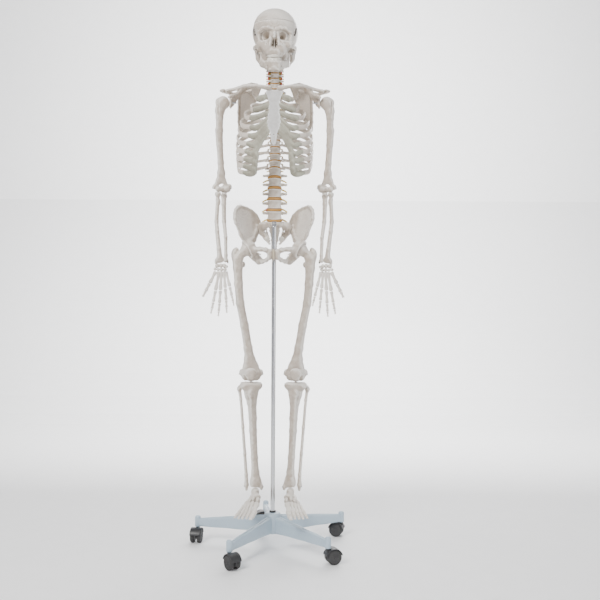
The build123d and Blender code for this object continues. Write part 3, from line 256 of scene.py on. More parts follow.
class Clay:
    """A solid on a grid of signed distances. Forms are laid on or cut away, each blending over its own width.

    Where folded, every form is laid on both sides of x = 0 at once.
    """

    def __init__(self, low, high, cell, folded=False):
        self.cell = cell * COARSE * CELL_SCALE
        self.folded = folded
        self.low = np.asarray(low, float) - 3 * self.cell
        if folded:
            self.low[0] = 0.0
        span = np.asarray(high, float) + 3 * self.cell - self.low
        self.shape = np.ceil(span / self.cell).astype(int) + 1
        self.grid = np.full(self.shape, 9.0, np.float32)

    def _lay(self, low, high, field, blend, cut):
        reach = blend + 2.5 * self.cell
        first = np.floor((np.asarray(low) - reach - self.low) / self.cell).astype(int)
        last = np.ceil((np.asarray(high) + reach - self.low) / self.cell).astype(int) + 1
        first, last = np.clip(first, 0, self.shape), np.clip(last, 0, self.shape)
        if (last <= first).any():
            return self
        x, y, z = [(self.low[k] + self.cell * np.arange(first[k],
                                                        last[k])).astype(np.float32) for k in range(3)]
        distance = field(x[:, None, None], y[None, :, None], z[None, None, :])
        window = tuple(slice(a, b) for a, b in zip(first, last))
        here = self.grid[window]
        self.grid[window] = -least(-here, distance, blend) if cut else least(here, distance, blend)
        return self

    def bar(self, points, radii, blend=2.0, flat=(1, 1, 1), cut=False):
        """A chain of tapering round bars: distance to the nearest point of each run, less its radius there.

        flat divides the distances along x, y and z, so the bar is that much wider along them.
        """
        flat = np.asarray(flat, float)
        points = np.asarray(points, float)
        radii = np.broadcast_to(np.asarray(radii, float), len(points))
        for a, b, ra, rb in zip(points[:-1], points[1:], radii[:-1], radii[1:]):
            pa, run = a / flat, (b - a) / flat
            square = max(float(run @ run), 1e-9)

            def field(x, y, z):
                px, py, pz = x / flat[0] - pa[0], y / flat[1] - pa[1], z / flat[2] - pa[2]
                t = np.clip((px * run[0] + py * run[1] + pz * run[2]) / square, 0, 1)
                away = np.sqrt((px - t * run[0]) ** 2 + (py - t * run[1]) ** 2 + (pz - t * run[2]) ** 2)
                return (away - (ra + t * (rb - ra))) * min(flat)

            thick = max(ra, rb) * flat
            self._lay(np.minimum(a, b) - thick, np.maximum(a, b) + thick, field, blend, cut)
        return self

    def egg(self, centre, radii, blend=2.0, turn=None, cut=False):
        """An ellipsoid: how far out of the unit ball a place is, after dividing by the three radii."""
        centre, radii = np.asarray(centre, float), np.asarray(radii, float)
        basis = np.eye(3) if turn is None else np.asarray(turn, float)
        basis = basis / np.linalg.norm(basis, axis=1, keepdims=True)

        def field(x, y, z):
            dx, dy, dz = x - centre[0], y - centre[1], z - centre[2]
            u, v, w = [(dx * m[0] + dy * m[1] + dz * m[2]) / r for m, r in zip(basis, radii)]
            out = np.sqrt(u * u + v * v + w * w)
            steep = np.sqrt((u / radii[0]) ** 2 + (v / radii[1]) ** 2 + (w / radii[2]) ** 2)
            return out * (out - 1) / np.maximum(steep, 1e-6)

        reach = np.sqrt(((basis * radii[:, None]) ** 2).sum(0))
        return self._lay(centre - reach, centre + reach, field, blend, cut)

    def plate(self, origin, ahead, up, outline, thickness, blend=2.0, bow=None, cut=False):
        """A flat or bowed plate with a drawn outline: distance to the outline's edges, signed by winding, and
        distance to the sheet less half its thickness, whichever is further out."""
        ahead = np.asarray(ahead, float) / np.linalg.norm(ahead)
        normal = np.cross(ahead, up)
        normal /= np.linalg.norm(normal)
        up = np.cross(normal, ahead)
        edge = np.asarray(outline, float)
        corners = np.asarray(origin) + edge[:, :1] * ahead + edge[:, 1:] * up

        def field(x, y, z):
            dx, dy, dz = x - origin[0], y - origin[1], z - origin[2]
            a, b, n = [dx * m[0] + dy * m[1] + dz * m[2] for m in (ahead, up, normal)]
            near, inside = np.full(a.shape, 1e6, np.float32), np.zeros(a.shape, bool)
            for (ax, ay), (bx, by) in zip(edge, np.roll(edge, -1, axis=0)):
                ex, ey = bx - ax, by - ay
                t = np.clip(((a - ax) * ex + (b - ay) * ey) / (ex * ex + ey * ey), 0, 1)
                near = np.minimum(near, (a - ax - t * ex) ** 2 + (b - ay - t * ey) ** 2)
                rise = ey if abs(ey) > 1e-9 else 1e-9
                crossing = ((ay > b) != (by > b)) & (a < ex * (b - ay) / rise + ax)
                inside ^= crossing
            off = n - bow(a, b) if bow else n
            depth = thickness(a, b) if callable(thickness) else thickness
            return -least(np.sqrt(near) * np.where(inside, 1, -1), depth / 2 - np.abs(off), 1.5)

        swell = 26.0 if bow else 4.0
        return self._lay(corners.min(0) - swell, corners.max(0) + swell, field, blend, cut)

    def half_space(self, point, normal, blend=1.0):
        """Cuts away everything on the side that normal points to."""
        normal = np.asarray(normal, float) / np.linalg.norm(normal)

        def field(x, y, z):
            return -((x - point[0]) * normal[0] + (y - point[1]) * normal[1] + (z - point[2]) * normal[2])

        return self._lay(self.low, self.low + self.cell * self.shape, field, blend, True)

    def weather(self, height):
        """A faint unevenness all over: products of slow waves along x, y and z, as high as given."""
        x, y, z = [(self.low[k] + self.cell * np.arange(self.shape[k])).astype(np.float32) for k in range(3)]
        x, y, z = x[:, None, None], y[None, :, None], z[None, None, :]
        slow = np.sin(x * 0.31 + np.sin(y * 0.13)) * np.sin(y * 0.27 + np.sin(z * 0.17))
        slow = slow * np.sin(z * 0.23 + x * 0.05)
        quick = np.sin(x * 0.83 + y * 0.2) * np.sin(y * 0.71 + z * 0.3) * np.sin(z * 0.77 + 1.0)
        self.grid += (height * (slow + 0.5 * quick)).astype(np.float32)
        return self

    def copy(self):
        """The same clay again."""
        made = object.__new__(Clay)
        made.__dict__.update(self.__dict__, grid=self.grid.copy(), low=self.low.copy())
        return made

    def surface(self):
        """(points, faces, hollow): the zero surface, and how deep in a hollow each point lies, 0 to 1."""
        field, low = self.grid, self.low.copy()
        if self.folded:
            field = np.concatenate([field[:0:-1], field])
            low[0] = -self.cell * (len(self.grid) - 1)
        band = 3 * self.cell
        near = np.clip(field, -band, band)
        grid = openvdb.FloatGrid(band)
        grid.copyFromArray(near.astype(np.float64))
        points, quads = grid.convertToQuads(isovalue=0.0)
        quads = np.asarray(quads, np.int64)
        soft = np.clip(field, -4.0, 4.0)
        width = max(int(round(2.4 / self.cell)), 1)
        for k in range(3):
            for _ in range(2):
                total = np.cumsum(np.moveaxis(soft, k, 0), axis=0)
                blur = total.copy()
                blur[width:-width] = (np.roll(total, -width, 0) - np.roll(total, width,
                                                                          0))[width:-width] / (2 * width)
                blur[:width], blur[-width:] = blur[width], blur[-width - 1]
                soft = np.moveaxis(blur, 0, k)
        at = np.clip(np.round(points).astype(int), 0, np.array(field.shape) - 1)
        sunk = soft[at[:, 0], at[:, 1], at[:, 2]] - field[at[:, 0], at[:, 1], at[:, 2]]
        made = points * self.cell + low
        return made, outward(made, [quads]), np.clip(LEVEL - sunk * 0.55, 0, 1)


def clay_piece(name, clay, body, slot, material, replaces=(), move=None):
    """A piece from clay; move takes its points to their place."""
    points, faces, hollow = clay.surface()
    return piece(name, move(points) if move else points, faces, body, slot, material, replaces, shade=hollow)


def clay_pair(name, clay, body, slot, material, replaces=()):
    """A left piece and its mirror image; body and the replaced nodes are named without their side."""
    points, faces, hollow = clay.surface()
    for side in ("left", "right"):
        p, f = (points, faces) if side == "left" else flipped((points, faces))
        piece(f"{name}_{side}", p, f, f"{body}_{side}" if body != "torso" else body, slot, material,
              [f"{n}_{side}" for n in replaces], shade=hollow)


def pair(name, part, body, slot, material, replaces=()):
    """A left piece made of surfaces and its mirror image, named the same way."""
    for side in ("left", "right"):
        p, f = part if side == "left" else flipped(part)
        piece(f"{name}_{side}", p, f, f"{body}_{side}" if body != "torso" else body, slot, material,
              [f"{n}_{side}" for n in replaces])


# ---------------------------------------------------------------- finishes
def group(name, outputs, inputs=()):
    """An empty shader node group with its sockets, its input and output nodes and a way to add to it."""
    made = bpy.data.node_groups.new(name, "ShaderNodeTree")
    for label, default in inputs:
        socket = made.interface.new_socket(label, in_out="INPUT", socket_type="NodeSocketFloat")
        socket.default_value = default
    for label in outputs:
        made.interface.new_socket(label, in_out="OUTPUT", socket_type="NodeSocketFloat")
    return made, made.nodes.new("NodeGroupInput"), made.nodes.new("NodeGroupOutput")


def node(tree, kind, **values):
    """A node with its settings and the starting values of its inputs."""
    made = tree.nodes.new(kind)
    for key, value in values.items():
        if hasattr(made, key):
            setattr(made, key, value)
        else:
            made.inputs[key.replace("_", " ")].default_value = value
    return made


def noise(tree, scale, detail=3.0, roughness=0.55):
    """Noise in the object's own coordinates; scale is in features a metre."""
    made = node(tree, "ShaderNodeTexNoise", Scale=scale, Detail=detail, Roughness=roughness)
    place = tree.nodes.new("ShaderNodeTexCoord")
    tree.links.new(place.outputs["Object"], made.inputs["Vector"])
    return made.outputs["Fac"]


def ramp(tree, value, low, high, to_low=0.0, to_high=1.0):
    """A value spread from one range to another, held at its ends."""
    made = node(tree, "ShaderNodeMapRange", clamp=True)
    for k, number in zip(("From Min", "From Max", "To Min", "To Max"), (low, high, to_low, to_high)):
        made.inputs[k].default_value = number
    tree.links.new(value, made.inputs["Value"])
    return made.outputs["Result"]


def maths(tree, kind, a, b):
    """One sum of two values."""
    made = node(tree, "ShaderNodeMath", operation=kind)
    for k, value in enumerate((a, b)):
        if isinstance(value, (int, float)):
            made.inputs[k].default_value = value
        else:
            tree.links.new(value, made.inputs[k])
    return made.outputs[0]


def moulding():
    """Masks of a moulded surface: broad tone, fine speck, grain height, and painted shade in the hollows,
    broken up in patches.
    """
    tree, given, out = group("moulding", ("Tone", "Speck", "Grain", "Hollow shade"), (("Grain size", 1.0),))
    tone = ramp(tree, noise(tree, 14.0, 4.0), 0.32, 0.68)
    speck = ramp(tree, noise(tree, 420.0, 2.0, 0.7), 0.56, 0.72)
    coarse = noise(tree, 160.0, 3.0, 0.6)
    fine = noise(tree, 1500.0, 2.0, 0.6)
    grain = maths(tree, "ADD", maths(tree, "MULTIPLY", coarse, 0.7), maths(tree, "MULTIPLY", fine, 0.3))
    grain = maths(tree, "MULTIPLY", grain, given.outputs["Grain size"])
    # Painted shade: the deeper in a hollow a point lies, the more of the finish's third colour it takes, in
    # patches.
    sunk = node(tree, "ShaderNodeAttribute", attribute_name="hollow").outputs["Fac"]
    patchy = ramp(tree, noise(tree, 60.0, 3.0), 0.25, 0.7, 0.55, 1.0)
    hollow_shade = maths(tree, "MULTIPLY", ramp(tree, sunk, 0.40, 0.85), patchy)
    for label, value in zip(("Tone", "Speck", "Grain", "Hollow shade"), (tone, speck, grain, hollow_shade)):
        tree.links.new(value, out.inputs[label])
    return tree


def handling():
    """Masks of use: fine scratches that run every way, and smears left by hands."""
    tree, _, out = group("handling", ("Scratch", "Smear"))
    lines = []
    for turn in ((0.3, 0.2, 0.4), (1.3, 0.7, 2.0)):
        place = tree.nodes.new("ShaderNodeTexCoord")
        spun = node(tree, "ShaderNodeMapping")
        spun.inputs["Rotation"].default_value = turn
        spun.inputs["Scale"].default_value = (30.0, 900.0, 900.0)
        tree.links.new(place.outputs["Object"], spun.inputs["Vector"])
        streak = node(tree, "ShaderNodeTexNoise", Scale=1.0, Detail=1.0, Roughness=0.4)
        tree.links.new(spun.outputs[0], streak.inputs["Vector"])
        lines.append(ramp(tree, streak.outputs["Fac"], 0.70, 0.76))
    tree.links.new(maths(tree, "MAXIMUM", *lines), out.inputs["Scratch"])
    tree.links.new(ramp(tree, noise(tree, 22.0, 5.0, 0.65), 0.42, 0.66), out.inputs["Smear"])
    return tree


MOULDING, HANDLING = moulding(), handling()


def tinted(tree, base, layer, mask, strength):
    """A colour with another laid over it as far as a mask lets it."""
    made = node(tree, "ShaderNodeMix", data_type="RGBA")
    tree.links.new(maths(tree, "MULTIPLY", mask, strength), made.inputs["Factor"])
    for socket, value in ((made.inputs[6], base), (made.inputs[7], layer)):
        if isinstance(value, tuple):
            socket.default_value = (*value, 1.0)
        else:
            tree.links.new(value, socket)
    return made.outputs[2]


def finish(name, colour, toned, speck_and_shade, rough, metallic=0.0, coat=0.0, grain=1.0, bump=0.3, tone=0.6, hollow_shade=0.8,
           scratch=0.4):
    """A finish: a colour drifting to a second one, painted shade in hollows, specks, smears, scratches and a
    grain.
    """
    made = bpy.data.materials.new(name)
    made.use_nodes = True
    tree = made.node_tree
    shader = tree.nodes["Principled BSDF"]
    surface = node(tree, "ShaderNodeGroup", node_tree=MOULDING)
    surface.inputs["Grain size"].default_value = grain
    used = node(tree, "ShaderNodeGroup", node_tree=HANDLING)
    shade = tinted(tree, colour, toned, surface.outputs["Tone"], tone)
    shade = tinted(tree, shade, speck_and_shade, surface.outputs["Speck"], 0.25)
    # Painted shade: concave places are tinted towards the third colour, the same colour that the specks use.
    shade = tinted(tree, shade, speck_and_shade, surface.outputs["Hollow shade"], hollow_shade)
    tree.links.new(shade, shader.inputs["Base Color"])
    worn = maths(tree, "ADD", maths(tree, "MULTIPLY", used.outputs["Smear"], 0.14), rough - 0.05)
    worn = maths(tree, "ADD", worn, maths(tree, "MULTIPLY", used.outputs["Scratch"], scratch * 0.3))
    worn = maths(tree, "ADD", worn, maths(tree, "MULTIPLY", surface.outputs["Hollow shade"], 0.2))
    tree.links.new(worn, shader.inputs["Roughness"])
    raised = node(tree, "ShaderNodeBump", Strength=bump, Distance=0.0006)
    height = maths(tree, "SUBTRACT", surface.outputs["Grain"],
                   maths(tree, "MULTIPLY", used.outputs["Scratch"], scratch))
    tree.links.new(height, raised.inputs["Height"])
    tree.links.new(raised.outputs["Normal"], shader.inputs["Normal"])
    shader.inputs["Metallic"].default_value = metallic
    shader.inputs["Coat Weight"].default_value = coat
    return made


# Each finish's third colour gives both its specks and the painted shade in its hollows.
RIB = finish("rib", (0.66, 0.60, 0.53), (0.57, 0.50, 0.43), (0.25, 0.19, 0.14), 0.48, coat=0.08, bump=0.35)
BONE = finish("bone", (0.75, 0.71, 0.65), (0.66, 0.61, 0.55), (0.30, 0.23, 0.17), 0.50, coat=0.06, bump=0.35)
TEETH = finish("teeth", (0.72, 0.69, 0.62), (0.64, 0.60, 0.52), (0.42, 0.34, 0.22), 0.28, coat=0.3, bump=0.12)
STERNUM = finish("sternum", (0.70, 0.70, 0.68), (0.62, 0.62, 0.62), (0.36, 0.34, 0.33), 0.42, coat=0.1,
                 bump=0.3)
CARTILAGE = finish("cartilage", (0.42, 0.41, 0.33), (0.34, 0.33, 0.26), (0.18, 0.16, 0.12), 0.48, bump=0.3)
DISC = finish("disc", (0.44, 0.235, 0.06), (0.34, 0.16, 0.04), (0.15, 0.075, 0.025), 0.58, bump=0.5)
NERVE = finish("nerve", (0.72, 0.52, 0.09), (0.60, 0.40, 0.06), (0.28, 0.17, 0.04), 0.45, bump=0.3)
ARTERY = finish("artery", (0.50, 0.03, 0.02), (0.38, 0.02, 0.02), (0.14, 0.01, 0.01), 0.38, bump=0.3)
PAD = finish("pad", (0.52, 0.45, 0.34), (0.44, 0.37, 0.27), (0.22, 0.17, 0.11), 0.6, bump=0.5)
BASE = finish("base", (0.42, 0.52, 0.60), (0.37, 0.47, 0.56), (0.20, 0.25, 0.30), 0.38, coat=0.12, bump=0.4)
BLACK = finish("castor", (0.018, 0.018, 0.020), (0.03, 0.03, 0.032), (0.12, 0.11, 0.10), 0.42, bump=0.3,
               tone=0.4)
TREAD = finish("tread", (0.025, 0.025, 0.027), (0.045, 0.044, 0.042), (0.16, 0.14, 0.12), 0.7, bump=0.7)
CHROME = finish("chrome", (0.62, 0.63, 0.65), (0.55, 0.56, 0.58), (0.30, 0.29, 0.27), 0.20, 1.0, bump=0.05,
                scratch=0.7)
STEEL = finish("steel", (0.50, 0.50, 0.50), (0.42, 0.42, 0.43), (0.22, 0.20, 0.18), 0.34, 1.0, bump=0.12,
               scratch=0.8)
SCREW = finish("screw", (0.16, 0.15, 0.14), (0.12, 0.11, 0.10), (0.05, 0.05, 0.04), 0.4, 1.0, bump=0.2)


# ---------------------------------------------------------------- skull: z is measured from the condyles
CONDYLE = JAW[2] - 12.0


def on_neck(points):
    """Skull points moved up to the top of the neck."""
    return points + (0, 0, CONDYLE)


def braincase(clay, wall, cut):
    """The dome as three eggs that run together, each smaller by the wall."""
    clay.egg((0, 20, 84), (77 - wall, 70 - wall, 69 - wall), 0 if not cut else 0.5, cut=cut)
    clay.egg((0, -18, 90), (71 - wall, 66 - wall, 61 - wall), 14 if not cut else 4, cut=cut)
    clay.egg((0, 38, 62), (62 - wall, 51 - wall, 50 - wall), 14 if not cut else 4, cut=cut)


def cranium():
    """Braincase, brow, orbits, nose, cheekbones, upper jaw and the underside, as one folded lump of clay."""
    clay = Clay((0, -104, -42), (80, 98, 164), 1.15, folded=True)
    braincase(clay, 0, False)
    clay.egg((0, 6, 32), (44, 58, 26), 12)
    clay.egg((88, -44, 50), (30, 34, 34), 12, cut=True)
    braincase(clay, 6, True)
    clay.egg((0, -56, 46), (42, 30, 24), 6)
    clay.bar([(7, -84, 64), (20, -85, 68), (37, -79, 68), (51, -67, 59)], [5.5, 5.5, 5, 5], 7)
    clay.bar([(51, -67, 60), (53.5, -64, 44), (50, -66, 28)], [4.6, 4.4, 7], 4)
    clay.egg((45, -71, 19), (13.5, 8.5, 10.5), 6)
    clay.bar([(42, -76, 28), (28, -80, 29), (15, -80, 34)], [5, 4, 4.5], 4)
    clay.egg((23, -68, 8), (17, 19, 22), 7)
    clay.egg((0, -64, -6), (26, 24, 15), 6)
    clay.bar([(0, -85, -11), (12, -83, -10), (21, -75, -8), (26, -61, -4), (28, -44, 0)], 5.4, 4, (1, 1, 1.5))
    clay.bar([(48, -66, 19), (61, -50, 19), (68, -32, 20), (69.5, -12, 23), (65, 6, 26)],
             [6.5, 5, 4.2, 4.2, 6], 4, (0.75, 1, 1.2))
    clay.bar([(31, -102, 45.5), (30.5, -74, 45.5), (22, -52, 46)], [20.5, 16.0, 5], 2, (1.08, 1, 0.94),
             cut=True)
    clay.egg((37, -80, 41), (14.5, 15, 12.5), 3, cut=True)
    clay.bar([(24, -60, 44), (15, -40, 47)], 2.6, 1.5, cut=True)
    clay.bar([(36, -62, 37), (24, -50, 41)], 1.7, 1.5, cut=True)
    clay.bar([(0, -83, 58), (0, -90, 46), (0, -96, 36)], [5.5, 5, 4.2], 4)
    clay.bar([(10, -81, 52), (13, -83, 34), (14.5, -85, 14)], [4.2, 4.4, 4.6], 4)
    clay.bar([(2, -112, 29), (2, -62, 29)], 4.6, 2, cut=True)
    clay.bar([(4, -112, 16), (4, -62, 16)], 6.6, 4, cut=True)
    clay.bar([(0, -70, 32), (0, -66, 6)], 1.4, 1, (1, 8, 1))
    clay.bar([(0, -82, 5), (0, -92, 5.5)], [3.4, 1.6], 2)
    clay.egg((8, -68, 12), (3.6, 9, 2.6), 1)
    clay.egg((8, -66, 22), (3.0, 9, 2.2), 1)
    clay.bar([(26, -104, 15), (26, -74, 17)], 1.7, 1, cut=True)
    clay.egg((21, -90, 60.5), (3, 3.4, 2.6), 1.5, cut=True)
    clay.bar([(55, 34, 28), (53, 31, 4), (50, 27, -13)], [16, 12, 6.5], 8)
    clay.bar([(0, -24, 14), (0, 4, 5)], [9, 8], 6, (1.4, 1, 1))
    clay.egg((13, 6, 4), (6, 12, 5.5), 3)
    clay.bar([(0, 30, -30), (0, 25, 34)], 14.5, 3, cut=True)
    clay.egg((0, 86, 46), (10, 6, 6), 6)
    clay.bar([(0, 80, 44), (30, 72, 40), (52, 48, 30)], 2.6, 6)
    clay.bar([(15, -36, 18), (16, -38, -12)], [4, 2.2], 3, (0.6, 1.8, 1))
    # Pterygoid plates, made large so that the painted shade of their hollows fills the dark gap behind the
    # cheekbone.
    clay.bar([(27, -34, 16), (30, -32, -4), (28, -34, -20)], [12, 12, 9], 5, (1.1, 0.7, 1))
    clay.egg((0, -50, -15), (17, 28, 15), 3, cut=True, turn=((1, 0, 0), (0, 1, 0.27), (0, -0.27, 1)))
    clay.bar([(84, 14, 22), (52, 15, 22)], 3.6, 1.5, cut=True)
    clay.bar([(44, 18, 6), (39, 10, -18)], [2.6, 1.1], 2)
    clay.egg((47, 6, 11), (13, 9, 9.5), 2, cut=True)
    clay.bar([(0, 4, -20), (0, 4, 10)], 3.9, 0.3, cut=True)
    clay.weather(0.22)
    return clay


SUTURES = (
    [(0, -26, 156), (18, -22, 152), (36, -20, 140), (50, -20, 122), (58, -26, 100), (58, -32, 82)],
    [(0, -24, 160), (1.5, 0, 162), (-1.5, 30, 160), (1.5, 54, 144), (0, 70, 120)],
    [(0, 72, 118), (20, 74, 100), (40, 66, 78), (54, 52, 60), (60, 42, 46)],
    [(58, -26, 74), (70, -8, 80), (73, 14, 76), (68, 34, 58)],
    [(2, -86, 60), (12, -86, 60)],
    [(48, -70, 56), (58, -62, 55)],
)


def sutured(points, hollow):
    """Hollow values deepened along the skull's seams: the nearer a wavering line, the deeper."""
    for line in SUTURES:
        for fold in (1.0, -1.0):
            path = smooth_line(line, 260) * (fold, 1, 1)
            phase = np.arange(260) * 0.85
            path += np.stack([np.sin(phase), np.cos(phase * 1.3), np.sin(phase * 0.7 + 1)], -1) * 1.3
            box = (points > path.min(0) - 16).all(1) & (points < path.max(0) + 16).all(1)
            inside = np.flatnonzero(box)
            outside = points[inside] - (0, 18, 80)
            outside /= np.linalg.norm(outside, axis=1, keepdims=True)
            way = path - (0, 18, 80)
            way /= np.linalg.norm(way, axis=1, keepdims=True)
            away = np.full(len(inside), 9.0)
            for start in range(0, 260, 26):
                gap = outside[:, None] - way[None, start:start + 27]
                away = np.minimum(away, np.sqrt((gap ** 2).sum(-1)).min(1))
            deep = np.clip(1.15 - away * 75 / 1.1, 0, 1) * 0.55
            hollow[inside] = np.maximum(hollow[inside], LEVEL + deep)
    return hollow


DENTAL_ARCH = [(0, -87.5), (9, -86), (17, -80), (22.5, -71), (25.5, -60), (27.5, -48), (28.5, -36)]
TOOTH_WIDTHS = (8.3, 6.6, 7.4, 6.8, 6.6, 9.8, 9.4)
OCCLUSAL_RISE = 0.27  # the rows of teeth climb this much for each millimetre back


def teeth(neck, edge, inset, scale):
    """One row of teeth: each an oval bar from neck to edge, as wide as its kind, along the dental arch."""
    line = smooth_line([(x, y, 0) for x, y in DENTAL_ARCH], 400)
    run = np.concatenate([[0], np.cumsum(np.linalg.norm(np.diff(line, axis=0), axis=1))])
    parts, at = [], 0.25
    for kind, width in enumerate(TOOTH_WIDTHS):
        width *= scale
        middle = at + width / 2
        at += width + 0.15
        x, y = np.interp(middle, run, line[:, 0]), np.interp(middle, run, line[:, 1])
        tx, ty = np.interp(middle + 1, run, line[:, 0]) - x, np.interp(middle + 1, run, line[:, 1]) - y
        size = sqrt(tx * tx + ty * ty)
        out = np.array([ty, -tx, 0]) / size
        depth = (2.9, 2.8, 3.7, 4.3, 4.4, 5.1, 5.0)[kind]
        here = np.array([x, y, OCCLUSAL_RISE * (y + 88)]) - out * (depth + inset)
        sign = 1 if edge > neck else -1
        point = 1.0 if kind == 2 else 0.0
        route = [here + (0, 0, neck), here + (0, 0, (neck + edge) / 2), here + (0, 0, edge + sign * point)]
        tip = 0.42 if kind < 2 else 0.8
        part = carried(route, [width * 0.36, width * 0.5, width * 0.49], [depth * 0.75, depth, depth * tip],
                       up=out, around=14, count=9, power=2.6, dome=0.5)
        parts += [part, flipped(part)]
    return joined(parts)


def make_skull():
    """Cap and base parted at the saw cut, seams, teeth, lower jaw, and the pins of the jaw and the cap."""
    clay = cranium()
    cut = 98.0
    cap, base = clay.copy(), clay.copy()
    cap.half_space((0, 0, cut + 0.35), (0, 0, -1), 0.2)
    base.half_space((0, 0, cut - 0.35), (0, 0, 1), 0.2)
    for part, lump, body in (("skull_cap", cap, "cap"), ("skull_base", base, "head")):
        points, faces, hollow = lump.surface()
        hollow = sutured(points, hollow)
        piece(f"{part}_bone", on_neck(points), faces, body, "bone_plastic", BONE, [part], shade=hollow)
    points, faces = teeth(-14.0, -26.6, 0.0, 1.0)
    piece("upper_teeth", on_neck(points), faces, "head", "bone_plastic", TEETH)
    points, faces = teeth(-41.0, -28.4, 2.0, 0.93)
    piece("lower_teeth", on_neck(points), faces, "jaw", "bone_plastic", TEETH)

    jaw = Clay((0, -96, -80), (60, 22, 24), 1.0, folded=True)
    jaw.bar([(0, -77, -54), (14, -74, -53), (28, -58, -46), (38, -36, -35), (45, -16, -22)],
            [9.8, 9.6, 8.4, 8.0, 8.4], 3, (0.62, 0.62, 1.55))
    jaw.bar([(0, -80, -42), (10, -78, -41.5), (18, -72, -40), (23, -60, -36), (26, -46, -31)], 5.2, 3)
    jaw.egg((0, -83, -62), (9, 5, 7), 5)
    jaw.egg((11, -79, -66), (8, 6, 4.5), 4)
    ramus = [(-30, -38), (-31, -24), (-27, -10), (-25, 4), (-20, 4), (-14, -4), (-6, -5), (0, 2), (9, 4),
             (13, -5), (12, -18), (6, -28), (-10, -38)]
    jaw.plate((45.5, 0, 0), (0, 1, 0), (0.03, 0, 1), ramus, 7.0, 3)
    jaw.bar([(46.5, 2, -8), (46.5, 6, 10)], [4.4, 4], 4)
    jaw.bar([(40, 6, 12), (53, 6, 12)], [4.0, 4.4], 2)
    jaw.bar([(47, 9, -16), (46.5, 0, -27), (42, -20, -38)], [4.2, 5, 4.4], 4)
    jaw.bar([(23, -100, -50), (23, -60, -52)], 1.7, 1, cut=True)
    jaw.egg((43, -10, -14), (4.5, 8, 10), 4, cut=True)
    jaw.weather(0.2)
    clay_piece("lower_jaw_bone", jaw, "jaw", "bone_plastic", BONE, ["mandible"], on_neck)
    pins = []
    for x in (-59.5, 59.5):
        side = np.sign(x)
        place = (x, 6, CONDYLE + 12)
        pins.append(lathe([0.6, 3.4, 3.8, 3.8], [2.2, 1.8, 0.6, -2.0], place, (side, 0, 0), 24))
    piece("jaw_pin_heads", *joined(pins), "head", "steel", STEEL, ["jaw_pins"])
    hooks = []
    for side in (-1, 1):
        route = [(66.5, -34, 62), (69.5, -32, 72), (70.5, -30, 80), (70.5, -29, 88)]
        route = [np.array(p) * (side, 1, 1) + (0, 0, CONDYLE) for p in route]
        hooks.append(carried(route, 2.2, 2.6, (side, 0.4, 0), 12, 20))
        hooks.append(lathe([0.5, 2.4, 2.9, 2.9], [2.4, 2.0, 0.8, -3.0], route[0], (side, -0.5, 0), 20))
    piece("cap_hooks", *joined(hooks), "head", "steel", SCREW)


# ---------------------------------------------------------------- spine
def disc_places():
    """For each disc from the lowest: centre, up direction, half width, half depth and half thickness."""
    places = []
    for points in islands("intervertebral_discs"):
        centre = (points.max(0) + points.min(0)) / 2
        centre[0] = 0.0
        spread_of = np.linalg.eigh(np.cov((points - centre)[:, 1:].T))
        up = np.array([0.0, *spread_of[1][:, 0]])
        up *= np.sign(up[2])
        back = np.cross(up, (1, 0, 0))
        off = points - centre
        thick = np.ptp(off @ up) / 2
        places.append((centre, up, np.ptp(points[:, 0]) / 2, np.ptp(off @ back) / 2, thick * 1.45 + 0.3))
    return places


DISCS = disc_places()


def vertebra_places():
    """For each vertebra from L5 up to C1: middle, up direction, body height, half width and half depth."""
    places = []
    for low, high in zip(DISCS, DISCS[1:]):
        up = (high[0] - low[0]) / np.linalg.norm(high[0] - low[0])
        gap = np.linalg.norm(high[0] - low[0])
        centre = low[0] + up * (gap / 2 + (low[4] - high[4]) / 2)
        places.append((centre, up, gap - low[4] - high[4] - 0.6, low[2], low[3]))
    centre, _, wide, deep, _ = DISCS[-1]
    axis_middle = centre + (0, 0, 11.5)
    places.append((axis_middle, np.array([0, 0, 1.0]), 18.4, wide, deep))
    places.append((axis_middle + (0, 0, 20.6), np.array([0, 0, 1.0]), 15.0, 23.0, 15.0))
    return places


SPINE = vertebra_places()


def seated(points, centre, up):
    """Points of a vertebra's own frame (left, back, up) set in their place on the spine."""
    back = np.cross(up, (1, 0, 0))
    return np.asarray(centre) + points[:, :1] * (1, 0, 0) + points[:, 1:2] * back + points[:, 2:] * up


def drum(clay, width, depth, height, waist):
    """A vertebra's body: an oval drum, drawn in at its middle, with a rim above and below."""

    def field(x, y, z):
        out = np.sqrt((x / width) ** 2 + (y / depth) ** 2)
        inward = waist * np.clip(1 - (2 * z / height) ** 2, 0, 1)
        return -least((1 - out) * min(width, depth) - inward, height / 2 - np.abs(z), 1.6)

    clay._lay((-width, -depth, -height / 2), (width, depth, height / 2), field, 0, False)


